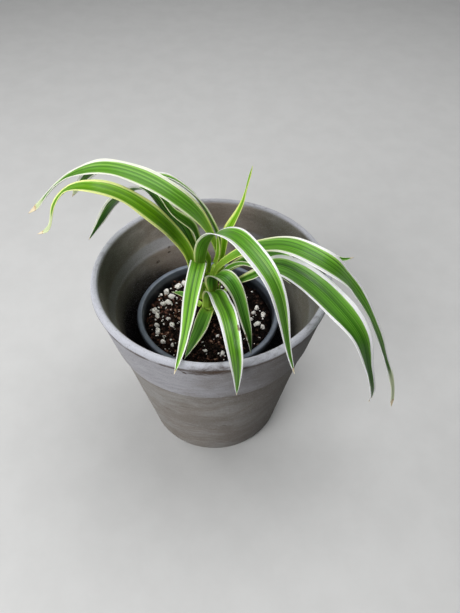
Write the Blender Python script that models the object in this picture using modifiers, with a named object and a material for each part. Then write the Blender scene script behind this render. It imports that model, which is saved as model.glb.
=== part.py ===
"""Potted spider plant with pale leaf margins.

A clay pot holds a thin black nursery pot.
The nursery pot holds soil with perlite, and a short crown that carries seventeen leaves.
Sizes are in millimetres and become metres through MM. The origin is the centre of the
clay pot's foot, +Z is up and +Y points away from the photograph's camera.
"""
import math
import random

import bmesh
import bpy
import numpy as np
from mathutils import Vector

MM = 0.001
GAP = 0.3

POT_HEIGHT = 150.0
POT_RIM_R = 82.5
POT_LIP_R = 77.0
POT_COLLAR_Z = 104.5
POT_COLLAR_R = 73.2
POT_BODY_R = 71.4
POT_FOOT_R = 51.5
POT_FLOOR = 12.0
POT_LEDGE_TOP_Z = 128.0
POT_LEDGE_LOW_Z = 119.0

NURSERY_AT = (-3.3, -2.5)
NURSERY_Z = POT_FLOOR + GAP
NURSERY_TOP_Z = 113.0
NURSERY_RIM_R = 51.5
NURSERY_MOUTH_R = 47.7
NURSERY_WALL = 1.0
NURSERY_FOOT_R = 40.0
NURSERY_FLOOR = 1.6
DRAIN_R = 3.5
DRAIN_RING_R = 26.0
DRAIN_COUNT = 6

SOIL_Z = 103.5
PERLITE = (
    (-35, 25, 2.6), (-31, 20, 3.2), (-37, 13, 2.8), (-33, 14, 2.8), (-43, 6, 2.6),
    (-41, 1, 2.2), (-33, -2, 1.9), (-41, -8, 2.2), (-30, -8, 1.8), (-40, -14, 2.4),
    (-22, 34, 2.2), (-26, 31, 2.8), (33, 6, 2.0), (30, 1, 1.9), (37, -1, 2.5),
    (28, -5, 1.7), (32, -10, 2.2), (36, -13, 2.0), (-36, -24, 2.0), (-29, -27, 1.8),
    (3, -20, 1.6), (6, -36, 1.9), (24, 17, 1.8), (-6, -33, 1.7),
)
BARK_COUNT = 34

CROWN_AT = (-3.5, 6.0)
CROWN_TILT = (-1.85, 7.4)
CROWN_FOOT_Z = 90.0
CROWN_TOP_Z = 150.0
CROWN_FOOT_R = 5.3
CROWN_TOP_R = 2.8

BLADE = 0.8
BASE_FOLD = 62.0
BLADE_FOLD = 30.0
TIP_WIDTH = 1.1
ACROSS = 5
ROLL_AT = (0, 0.5, 0.8, 1)

# Each leaf: its route in mm, width at the base and at the widest point, where the widest
# point lies, how full the point is, its roll in degrees at the base, middle, four fifths
# and tip, and how broad the tip stays.
LEAVES = {
    "leaf_long_left_upper": dict(
        route=((2, 13.5, 146.5), (3, 14, 152.5), (1.5, 14, 161.5), (-6, 13.5, 182.5),
               (-21, 10.5, 204), (-42, 17, 215), (-68, 23, 218.5), (-91, 30.5, 207),
               (-106.5, 36, 192), (-116, 37.5, 181), (-126, 39, 172.5)),
        base=6.9, width=16.6, peak=0.33, point=2.1, roll=(-4, -6, 7, -41), tip=4),
    "leaf_long_left_lower": dict(
        route=((-9, 5, 129.5), (-13, 5.5, 140.5), (-14.5, 4, 149.5), (-15.5, 4, 160.5),
               (-24, 6, 177.5), (-35, 2.5, 195.5), (-52, 4.5, 210), (-73, 4, 218.5),
               (-88, 6.5, 213.5), (-95.5, 0.5, 206), (-101, -2.5, 192.5), (-109, -2, 188)),
        base=8.2, width=14.9, peak=0.48, point=1.6, roll=(-45, -21, -4, -24), tip=3),
    "leaf_back_left_outer": dict(
        route=((2, 13, 132.5), (5.5, 13.5, 139.5), (7, 17, 147), (5, 22, 160.5),
               (-1, 25.5, 176.5), (-8, 26, 190.5), (-16.5, 25, 201.5), (-28, 27, 208),
               (-43, 28.5, 208.5), (-59.5, 32, 208.5), (-75, 38.5, 205.5), (-86, 43.5, 194),
               (-96.5, 51, 177)),
        base=7.3, width=13, peak=0.54, point=2.5, roll=(38, 21, 49, 66), tip=1.6),
    "leaf_back_left_drooping": dict(
        route=((-4.5, 10.5, 134), (-8, 14.5, 144.5), (-13, 17, 156), (-19.5, 19, 173.5),
               (-30, 22, 187), (-42, 30.5, 196), (-57, 37.5, 187.5), (-71, 45, 170.5),
               (-82, 49.5, 152), (-93, 55.5, 133)),
        base=7.6, width=14.8, peak=0.4, point=2, roll=(-3, 25, 39, 34), tip=1.4),
    "leaf_back_left_inner": dict(
        route=((-4, 10, 140), (-3, 12, 149.5), (-7.5, 13, 159), (-12.5, 13.5, 178),
               (-24, 13, 191), (-31.5, 19.5, 199), (-36, 23.5, 202.5), (-38.5, 27.5, 201.5)),
        base=6.4, width=10.3, peak=0.4, point=1.8, roll=(-4, 11, 13, 3), tip=1.1),
    "leaf_upright": dict(
        route=((5.5, 10, 142.5), (7.5, 11, 149), (9, 12.5, 157), (10.5, 14, 167.5),
               (16, 17.5, 179.5), (22, 21.5, 191), (25, 25.5, 201), (28, 29, 214)),
        base=4.6, width=9.4, peak=0.42, point=1.1, roll=(-8, -16, -42, 6), tip=1),
    "leaf_front_right_arch": dict(
        route=((-4.5, 2, 131.5), (-8, -1.5, 138), (-8, 0, 147), (-7, 2.5, 153.5),
               (-6.5, 1, 161), (-5, 0, 171.5), (2, -6, 187), (14.5, -24, 200),
               (25, -43.5, 202), (34.5, -60, 195), (40.5, -70, 174), (44, -78, 156.5),
               (48, -83.5, 142.5)),
        base=6.8, width=16.4, peak=0.4, point=2.1, roll=(11, 15, 6, 0), tip=1.6),
    "leaf_front_left_hanging": dict(
        route=((-8, 1, 121), (-10.5, -4.5, 139), (-10.5, -7.5, 158), (-8.5, -14.5, 170.5),
               (-10, -26.5, 173), (-13.5, -44.5, 167), (-17, -64, 159), (-23.5, -87.5, 151.5)),
        base=7.3, width=11.1, peak=0.46, point=2, roll=(3, 5, 29, -21), tip=1.6),
    "leaf_on_soil": dict(
        route=((-3.5, -1.5, 105.5), (-3.5, -1.5, 111), (-7, -10.5, 111.5), (-12, -24.5, 110.5),
               (-20.5, -42, 107)),
        base=10.8, width=11, peak=0.36, point=1.6, roll=(13, -17, -2, -9), tip=1.1),
    "leaf_front_middle": dict(
        route=((-3, -1.5, 114.5), (-3, -5.5, 124.5), (-2, -12, 139), (2, -25.5, 154.5),
               (5.5, -48, 168), (9, -70.5, 176), (11.5, -84.5, 169), (13, -88, 151.5),
               (13, -89, 130.5)),
        base=8.4, width=12.7, peak=0.5, point=2, roll=(3, -3, 0, -3), tip=1.6),
    "leaf_front_right_inner": dict(
        route=((0.5, 0, 124.5), (0.5, -4.5, 138.5), (1.5, -8, 152.5), (9, -16, 158.5),
               (15.5, -23, 151.5), (19.5, -35, 143.5), (23, -43.5, 130.5), (25, -45.5, 115.5)),
        base=7, width=13.8, peak=0.42, point=1.7, roll=(-12, 9, -1, -6), tip=1.2),
    "leaf_long_right_upper": dict(
        route=((2, 1, 138.5), (3.5, 1, 148.5), (9.5, -1, 159), (21.5, -3.5, 170),
               (37, -11, 181), (51.5, -25.5, 191), (71, -38.5, 187.5), (86, -39.5, 171),
               (102.5, -50.5, 145), (113.5, -57, 117.5), (121.5, -60, 95.5), (126.5, -61, 68.5)),
        base=5.8, width=18.9, peak=0.49, point=1.1, roll=(48, -16, -7, 25), tip=3.6),
    "leaf_long_right_lower": dict(
        route=((4, 3.5, 117), (7.5, -0.5, 127), (11.5, -5, 136.5), (20.5, -10, 150),
               (30.5, -18, 164.5), (39.5, -26, 178.5), (57.5, -39.5, 179.5), (76, -55.5, 169),
               (89, -68.5, 155.5), (94, -74, 139.5), (100, -78.5, 118), (103.5, -72.5, 93.5)),
        base=5.6, width=18, peak=0.61, point=1.4, roll=(10, 34, -11, 0), tip=2.6),
    "leaf_back_right": dict(
        route=((5, 10.5, 128.5), (11, 15, 133.5), (23, 13.5, 145.5), (45.5, 9, 156.5),
               (70.5, 4.5, 160), (89.5, 0, 157.5), (97.5, 3, 156.5)),
        base=5.6, width=11.2, peak=0.44, point=2.1, roll=(5, 6, 12, 19), tip=1.1),
    "leaf_short_right": dict(
        route=((5.5, 6, 126), (7, 3, 138), (10, 0, 150), (20, 2.5, 153), (30.5, 0.5, 150.5),
               (43, 0.5, 145), (55.5, 0, 135)),
        base=4.5, width=7.3, peak=0.38, point=1.8, roll=(0, -13, -10, -6), tip=1),
    "leaf_small_left": dict(
        route=((-9, 8.5, 106), (-14, 11.5, 108.5), (-20.5, 15, 111), (-30.5, 19, 111)),
        base=6, width=6.5, peak=0.4, point=1.6, roll=(2, 0, 0, 0), tip=1),
    "leaf_young_spear": dict(
        route=((2.5, 7.5, 150), (4.5, 6.5, 158.5), (5, 8, 167), (4.5, 9.5, 175)),
        base=3.8, width=4, peak=0.35, point=1.6, roll=(0, -4, 9, 1), tip=0.9),
}


def clear_file():
    """Remove whatever the new file starts with."""
    for item in list(bpy.data.objects):
        bpy.data.objects.remove(item, do_unlink=True)


def new_collection(name):
    """Make a collection under the scene."""
    group = bpy.data.collections.new(name)
    bpy.context.scene.collection.children.link(group)
    return group


def material(name, color, roughness):
    """Make a plain material with one surface shader."""
    made = bpy.data.materials.new(name)
    made.use_nodes = True
    shader = made.node_tree.nodes["Principled BSDF"]
    shader.inputs["Base Color"].default_value = (*color, 1.0)
    shader.inputs["Roughness"].default_value = roughness
    made.diffuse_color = (*color, 1.0)
    return made


def mesh_object(name, verts, faces, group, edges=()):
    """Make an object from points in millimetres."""
    mesh = bpy.data.meshes.new(name)
    mesh.from_pydata([[c * MM for c in v] for v in verts], list(edges), list(faces))
    mesh.update()
    made = bpy.data.objects.new(name, mesh)
    group.objects.link(made)
    return made


def turned(name, profile, steps, centre, group):
    """Turn a profile of (radius, height) points about an upright axis."""
    verts = [(r, 0.0, z) for r, z in profile]
    edges = [(i, i + 1) for i in range(len(profile) - 1)]
    made = mesh_object(name, verts, (), group, edges)
    made.location = (centre[0] * MM, centre[1] * MM, 0.0)
    screw = made.modifiers.new("turn", "SCREW")
    screw.axis = "Z"
    screw.steps = steps
    screw.render_steps = steps
    screw.use_merge_vertices = True
    screw.merge_threshold = 0.00001
    screw.use_smooth_shade = True
    return made


def tilted(made):
    """Tilt a piece turned about the crown's axis around its point on the soil."""
    made.location = (CROWN_AT[0] * MM, CROWN_AT[1] * MM, SOIL_Z * MM)
    made.rotation_euler = (math.radians(CROWN_TILT[0]), math.radians(CROWN_TILT[1]), 0.0)
    return made


def cut(target, cutter):
    """Cut one object out of another."""
    boolean = target.modifiers.new("cut", "BOOLEAN")
    boolean.operation = "DIFFERENCE"
    boolean.solver = "EXACT"
    boolean.object = cutter


def cutters_hidden(group):
    """Show the cutters as wires and keep them out of renders."""
    for item in group.objects:
        item.hide_render = True
        item.display_type = "WIRE"


def clay_pot(group):
    """The clay pot: tapered body, tall collar, rounded lip and an inner ledge."""
    profile = (
        (0, POT_FLOOR), (43, POT_FLOOR), (45.8, 13.2), (47.2, 16.5),
        (69.0, POT_LEDGE_LOW_Z - 1.5), (69.6, POT_LEDGE_LOW_Z), (70.6, POT_LEDGE_LOW_Z + 1.6),
        (72.2, POT_LEDGE_TOP_Z - 2.6), (72.9, POT_LEDGE_TOP_Z), (76.0, 144.0),
        (POT_LIP_R, 148.0), (POT_LIP_R + 1.3, 149.6), (POT_LIP_R + 3.0, POT_HEIGHT),
        (POT_RIM_R - 1.5, 149.5), (POT_RIM_R - 0.3, 148.2), (POT_RIM_R, 146.4),
        (POT_COLLAR_R + 0.4, POT_COLLAR_Z + 1.4), (POT_COLLAR_R - 0.3, POT_COLLAR_Z + 0.2),
        (POT_BODY_R + 0.4, POT_COLLAR_Z - 0.4), (POT_BODY_R, POT_COLLAR_Z - 1.6),
        (POT_FOOT_R + 0.6, 3.0), (POT_FOOT_R - 0.4, 0.8), (POT_FOOT_R - 1.4, 0.0), (0, 0),
    )
    return turned("clay_pot", profile, 64, (0, 0), group)


def nursery_inside(z):
    """The nursery pot's inner radius at a height."""
    low = NURSERY_Z + NURSERY_FLOOR + 1.2
    high = NURSERY_TOP_Z - 2.0
    share = (z - low) / (high - low)
    return (NURSERY_FOOT_R - NURSERY_WALL) * (1 - share) + (NURSERY_MOUTH_R - 0.5) * share


def nursery_pot(group, cutters):
    """The thin inner pot with a flat rolled rim and drain holes."""
    foot = NURSERY_Z
    top = NURSERY_TOP_Z
    wall = NURSERY_WALL
    profile = (
        (0, foot + NURSERY_FLOOR), (NURSERY_FOOT_R - wall - 1.2, foot + NURSERY_FLOOR),
        (nursery_inside(foot + NURSERY_FLOOR + 1.2), foot + NURSERY_FLOOR + 1.2),
        (nursery_inside(top - 2.0), top - 2.0), (NURSERY_MOUTH_R, top - 0.5),
        (NURSERY_MOUTH_R + 0.7, top), (NURSERY_RIM_R - 0.8, top - 0.1),
        (NURSERY_RIM_R, top - 0.8), (NURSERY_RIM_R - 0.1, top - 4.2),
        (NURSERY_RIM_R - 1.0, top - 4.2), (NURSERY_RIM_R - 1.3, top - 1.6),
        (NURSERY_MOUTH_R + 1.6, top - 1.6), (NURSERY_MOUTH_R + 0.5, top - 3.6),
        (NURSERY_FOOT_R, foot + 1.2), (NURSERY_FOOT_R - 1.0, foot), (0, foot),
    )
    pot = turned("nursery_pot", profile, 56, NURSERY_AT, group)
    for index in range(DRAIN_COUNT):
        angle = math.tau * (index + 0.5) / DRAIN_COUNT
        spot = (NURSERY_AT[0] + DRAIN_RING_R * math.cos(angle),
                NURSERY_AT[1] + DRAIN_RING_R * math.sin(angle))
        hole = turned(f"drain_cutter_{index + 1}",
                      ((0, foot + 4), (DRAIN_R, foot + 4), (DRAIN_R, foot - 2), (0, foot - 2)),
                      12, spot, cutters)
        cut(pot, hole)
    return pot


def lump(name, x, y, z, radius, rng, group):
    """A small uneven grain."""
    mesh = bpy.data.meshes.new(name)
    shape = bmesh.new()
    bmesh.ops.create_icosphere(shape, subdivisions=1, radius=radius * MM)
    for vert in shape.verts:
        vert.co *= rng.uniform(0.82, 1.16)
    turn = rng.uniform(0, math.tau)
    for vert in shape.verts:
        flat = Vector((vert.co.x * 1.15, vert.co.y, vert.co.z * 0.85))
        vert.co = (flat.x * math.cos(turn) - flat.y * math.sin(turn) + x * MM,
                   flat.x * math.sin(turn) + flat.y * math.cos(turn) + y * MM,
                   flat.z + z * MM)
    shape.to_mesh(mesh)
    shape.free()
    made = bpy.data.objects.new(name, mesh)
    group.objects.link(made)
    return made


def clear_of_leaves(x, y):
    """True where no leaf lies on the soil and no crown stands."""
    if -27 < x < 4 and -46 < y < 2:
        return False
    if -36 < x < -6 and 4 < y < 24:
        return False
    return math.hypot(x - CROWN_AT[0], y - CROWN_AT[1]) > 11


def soil(group, cutters):
    """The soil plug with perlite and bark grains grown into its top, and the crown's hole."""
    low = NURSERY_Z + NURSERY_FLOOR + GAP
    edge = nursery_inside(SOIL_Z - 2.0) - GAP - 0.1
    foot = nursery_inside(low + 2.5) - GAP - 0.1
    profile = (
        (0, SOIL_Z + 0.5), (16, SOIL_Z + 0.5), (32, SOIL_Z), (edge - 2.5, SOIL_Z - 0.6),
        (edge, SOIL_Z - 2.0), (foot, low + 2.5), (foot - 2.5, low), (0, low),
    )
    body = turned("soil", profile, 48, NURSERY_AT, group)
    grains = bpy.data.collections.new("grains")
    rng = random.Random(41)
    for index, (x, y, radius) in enumerate(PERLITE):
        lump(f"perlite_{index + 1}", x, y, SOIL_Z + 0.15 * radius, radius, rng, grains)
    placed = [(x, y) for x, y, radius in PERLITE]
    while len(placed) < len(PERLITE) + BARK_COUNT:
        reach = 40 * math.sqrt(rng.random())
        angle = rng.uniform(0, math.tau)
        x = NURSERY_AT[0] + reach * math.cos(angle)
        y = NURSERY_AT[1] + reach * math.sin(angle)
        near = min(math.hypot(x - px, y - py) for px, py in placed)
        if near > 5.0 and clear_of_leaves(x, y):
            placed.append((x, y))
            lump(f"bark_{len(placed)}", x, y, SOIL_Z - 0.3, rng.uniform(1.8, 2.9), rng, grains)
    join = body.modifiers.new("grains", "BOOLEAN")
    join.operation = "UNION"
    join.operand_type = "COLLECTION"
    join.solver = "EXACT"
    join.collection = grains
    with bpy.context.temp_override(object=body, active_object=body):
        bpy.ops.object.modifier_apply(modifier="turn")
        bpy.ops.object.modifier_apply(modifier="grains")
    for item in list(grains.objects):
        bpy.data.objects.remove(item, do_unlink=True)
    bpy.data.collections.remove(grains)
    deep = CROWN_FOOT_Z - SOIL_Z - GAP
    wide = CROWN_FOOT_R + GAP
    hole = turned("crown_hole_cutter", ((0, 12), (wide, 12), (wide, deep), (0, deep)),
                  24, CROWN_AT, cutters)
    cut(body, tilted(hole))
    return body


def crown_profile(gap):
    """The crown's radius and height above the soil, widened by a gap."""
    top = CROWN_TOP_Z - SOIL_Z
    return (
        (0, top + gap), (1.6 + gap, top - 0.4 + gap), (CROWN_TOP_R + gap, top - 2.0),
        (4.3 + gap, top - 12.0), (5.0 + gap, top - 28.0), (CROWN_FOOT_R + gap, 4.5),
        (CROWN_FOOT_R + gap, CROWN_FOOT_Z - SOIL_Z + 1.5 - 5 * gap),
        (3.6 + gap, CROWN_FOOT_Z - SOIL_Z - 5 * gap), (0, CROWN_FOOT_Z - SOIL_Z - 5 * gap),
    )


def crown(group):
    """The short stem that the leaf bases clasp."""
    return tilted(turned("crown", crown_profile(0.0), 24, CROWN_AT, group))


def spline(points, count):
    """Even steps along a natural cubic curve through the points, and its length."""
    knots = np.asarray(points, float)
    size = len(knots)
    param = np.concatenate([[0], np.cumsum(np.linalg.norm(np.diff(knots, axis=0), axis=1))])
    gap = np.diff(param)
    system = np.eye(size)
    right = np.zeros_like(knots)
    for i in range(1, size - 1):
        system[i, i - 1:i + 2] = gap[i - 1], 2 * (gap[i - 1] + gap[i]), gap[i]
        right[i] = 6 * ((knots[i + 1] - knots[i]) / gap[i]
                        - (knots[i] - knots[i - 1]) / gap[i - 1])
    bend = np.linalg.solve(system, right)
    fine = np.linspace(0, param[-1], 12 * count)
    j = np.clip(np.searchsorted(param, fine, side="right") - 1, 0, size - 2)
    after = (fine - param[j])[:, None]
    before = (param[j + 1] - fine)[:, None]
    span = gap[j][:, None]
    curve = ((bend[j] * before ** 3 + bend[j + 1] * after ** 3) / (6 * span)
             + (knots[j] / span - bend[j] * span / 6) * before
             + (knots[j + 1] / span - bend[j + 1] * span / 6) * after)
    length = np.concatenate([[0], np.cumsum(np.linalg.norm(np.diff(curve, axis=0), axis=1))])
    even = np.linspace(0, length[-1], count)
    return np.stack([np.interp(even, length, curve[:, k]) for k in range(3)], -1), length[-1]


def blade_frames(line, roll):
    """Side and upper directions carried along a leaf's centre line."""
    ahead = np.gradient(line, axis=0)
    ahead /= np.linalg.norm(ahead, axis=1)[:, None]
    chord = line[-1] - line[0]
    side = np.array([-chord[1], chord[0], 0.0])
    sides = []
    for step in ahead:
        side = side - step * (side @ step)
        side = side / np.linalg.norm(side)
        sides.append(side)
    sides = np.array(sides)
    upper = np.cross(ahead, sides)
    angle = np.radians(np.interp(np.linspace(0, 1, len(line)), ROLL_AT, roll))[:, None]
    return (sides * np.cos(angle) + upper * np.sin(angle),
            upper * np.cos(angle) - sides * np.sin(angle))


def blade_half_width(t, length, leaf):
    """Half the leaf's width from its base at 0 to its tip at 1."""
    rise = np.clip(t / leaf["peak"], 0, 1)
    rise = rise * rise * (3 - 2 * rise)
    fall = np.clip((t - leaf["peak"]) / (1 - leaf["peak"]), 0, 1)
    body = (leaf["base"] + (leaf["width"] - leaf["base"]) * rise) * (1 - fall ** leaf["point"])
    body = np.sqrt(body ** 2 + (leaf["tip"] * np.clip(fall * 2, 0, 1)) ** 2)
    sharp = np.clip((1 - t) * length / (3.0 + 1.6 * leaf["tip"]), 0, 1) ** 0.75
    return 0.5 * np.maximum(body * sharp, TIP_WIDTH)


def leaf_rows(leaf, count):
    """Points of the blade's middle sheet, row by row from base to tip."""
    line, length = spline(leaf["route"], count)
    side, upper = blade_frames(line, leaf["roll"])
    t = np.linspace(0, 1, count)
    half = blade_half_width(t, length, leaf)
    ease = np.clip(t / 0.3, 0, 1)
    ease = ease * ease * (3 - 2 * ease)
    fold = np.radians(BASE_FOLD + (BLADE_FOLD - BASE_FOLD) * ease)
    bend = half / fold
    v = np.linspace(-1, 1, ACROSS)
    out = bend[:, None] * np.sin(v * fold[:, None])
    lift = bend[:, None] * (1 - np.cos(v * fold[:, None]))
    return line[:, None] + side[:, None] * out[..., None] + upper[:, None] * lift[..., None]


def leaf_blade(name, leaf, group, cutter):
    """One closed leaf blade, trimmed where it would enter the crown."""
    length = sum(math.dist(a, b) for a, b in zip(leaf["route"], leaf["route"][1:]))
    count = int(min(24, max(9, length / 8)))
    rows = leaf_rows(leaf, count)
    verts = [tuple(p) for row in rows for p in row]
    faces = [(i * ACROSS + j, i * ACROSS + j + 1, (i + 1) * ACROSS + j + 1, (i + 1) * ACROSS + j)
             for i in range(count - 1) for j in range(ACROSS - 1)]
    blade = mesh_object(name, verts, faces, group)
    shape = bmesh.new()
    shape.from_mesh(blade.data)
    bmesh.ops.triangulate(shape, faces=shape.faces[:])
    shape.to_mesh(blade.data)
    shape.free()
    blade.data.polygons.foreach_set("use_smooth", [True] * len(blade.data.polygons))
    thick = blade.modifiers.new("thickness", "SOLIDIFY")
    thick.thickness = BLADE * MM
    thick.offset = 0.0
    cut(blade, cutter)
    return blade


def crown_cutter(cutters):
    """The crown with its clearance, which the leaf bases keep off."""
    return tilted(turned("crown_clearance_cutter", crown_profile(GAP), 24, CROWN_AT, cutters))


def build():
    """Build every piece and give each its material."""
    clear_file()
    plant = new_collection("potted_spider_plant")
    cutters = new_collection("cutters")
    clay_pot(plant).data.materials.append(material("clay", (0.42, 0.38, 0.36), 0.9))
    nursery_pot(plant, cutters).data.materials.append(
        material("black_plastic", (0.03, 0.035, 0.045), 0.45))
    soil(plant, cutters).data.materials.append(material("potting_soil", (0.06, 0.04, 0.03), 0.95))
    crown(plant).data.materials.append(material("crown_green", (0.42, 0.55, 0.18), 0.5))
    trim = crown_cutter(cutters)
    green = material("leaf_green", (0.16, 0.36, 0.06), 0.4)
    for name, leaf in LEAVES.items():
        leaf_blade(name, leaf, plant, trim).data.materials.append(green)
    cutters_hidden(cutters)


build()
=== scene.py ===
"""Potted spider plant with pale leaf margins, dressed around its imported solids.

The scene is in metres. The tables of profiles, routes and grains are in millimetres, and
those of marks and nicks in metres. The origin is the centre of the clay pot's foot, +Z is
up and +Y points away from the camera.
"""
import math
from types import SimpleNamespace

import bpy
import numpy as np
from bpy.props import FloatProperty, FloatVectorProperty, IntProperty, PointerProperty
from mathutils import Euler, Matrix, Vector


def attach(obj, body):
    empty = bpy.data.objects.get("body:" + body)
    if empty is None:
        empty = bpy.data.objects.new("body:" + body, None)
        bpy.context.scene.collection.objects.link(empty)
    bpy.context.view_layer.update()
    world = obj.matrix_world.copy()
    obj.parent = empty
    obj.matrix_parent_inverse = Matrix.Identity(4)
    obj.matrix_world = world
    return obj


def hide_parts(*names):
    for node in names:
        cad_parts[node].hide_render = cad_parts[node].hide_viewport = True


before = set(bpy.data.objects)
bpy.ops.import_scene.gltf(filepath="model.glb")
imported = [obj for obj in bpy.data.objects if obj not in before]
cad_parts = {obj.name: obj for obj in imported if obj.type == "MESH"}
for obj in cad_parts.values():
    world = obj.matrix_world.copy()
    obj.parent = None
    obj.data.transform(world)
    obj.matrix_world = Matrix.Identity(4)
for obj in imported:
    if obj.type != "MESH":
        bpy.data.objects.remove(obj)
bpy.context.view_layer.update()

bl_info = {
    "name": "Potted spider plant",
    "version": (1, 0, 0),
    "blender": (4, 5, 0),
    "location": "3D View > Sidebar > Spider plant",
    "description": "Builds a potted spider plant around its packed solids",
    "category": "Add Mesh",
}

MM = 0.001
BODY = "root"

# The pots, soil and crown in millimetres. NURSERY_CENTRE is in metres, and CROWN_TILT is
# the crown's turns about X and Y in degrees.
POT_FLOOR = 12.0
NURSERY_AT = (-3.3, -2.5)
NURSERY_CENTRE = (NURSERY_AT[0] * MM, NURSERY_AT[1] * MM, 0.0)
NURSERY_FOOT_Z = 12.3
DRAIN_R = 3.5
DRAIN_RING_R = 26.0
DRAIN_COUNT = 6
SOIL_Z = 103.5
CROWN_AT = (-3.5, 6.0)
CROWN_TILT = (-1.85, 7.4)

# Radius, height and how far the point lies inside the pot, 0 to 1.
CLAY_PROFILE = (
    (0, POT_FLOOR, 1), (43, POT_FLOOR, 1), (45.8, 13.2, 1), (47.2, 16.5, 1),
    (69.0, 117.5, 1), (69.6, 119.0, 1), (70.6, 120.6, 1), (72.2, 125.4, 1), (72.9, 128.0, 1),
    (76.0, 144.0, 1), (77.0, 148.0, 0.8), (78.3, 149.6, 0.2), (80.0, 150.0, 0), (81.3, 149.6, 0),
    (82.2, 148.3, 0), (82.5, 146.4, 0), (81.6, 142.9, 0), (80.9, 142.1, 0), (80.9, 141.2, 0),
    (73.7, 106.3, 0), (73.4, 105.2, 0), (72.6, 104.5, 0), (71.7, 104.1, 0), (71.4, 102.9, 0),
    (52.1, 3.0, 0), (51.1, 0.8, 0), (50.1, 0.0, 0), (0, 0, 0),
)
NURSERY_PROFILE = (
    (0, 13.9, 1), (37.8, 13.9, 1), (39.1, 15.1, 1), (47.1, 110.6, 1), (47.5, 112.2, 1),
    (47.9, 112.8, 1), (48.6, 113.0, 0.5), (50.4, 112.95, 0), (51.2, 112.5, 0), (51.5, 111.8, 0),
    (51.4, 108.8, 0), (50.5, 108.8, 0), (50.2, 111.4, 0), (49.3, 111.4, 0), (48.2, 109.4, 0),
    (40.0, 13.5, 0), (39.4, 12.6, 0), (38.6, 12.3, 0), (0, 12.3, 0),
)
SOIL_PROFILE = (
    (0, 104.0, 1), (16, 104.0, 1), (32, 103.5, 1), (43.5, 102.9, 1), (46.1, 101.6, 0.4),
    (39.0, 17.0, 0), (36.5, 14.3, 0), (0, 14.3, 0),
)
# Which of the soil's points is the edge between its top and its side.
SOIL_EDGE = 4
# The large white grains: x, y and radius.
PERLITE = (
    (-35, 25, 2.6), (-31, 20, 3.2), (-37, 13, 2.8), (-33, 14, 2.8), (-43, 6, 2.6),
    (-41, 1, 2.2), (-33, -2, 1.9), (-41, -8, 2.2), (-30, -8, 1.8), (-40, -14, 2.4),
    (-22, 34, 2.2), (-26, 31, 2.8), (33, 6, 2.0), (30, 1, 1.9), (37, -1, 2.5),
    (28, -5, 1.7), (32, -10, 2.2), (36, -13, 2.0), (-36, -24, 2.0), (-29, -27, 1.8),
    (3, -20, 1.6), (6, -36, 1.9), (24, 17, 1.8), (-6, -33, 1.7),
)

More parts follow.
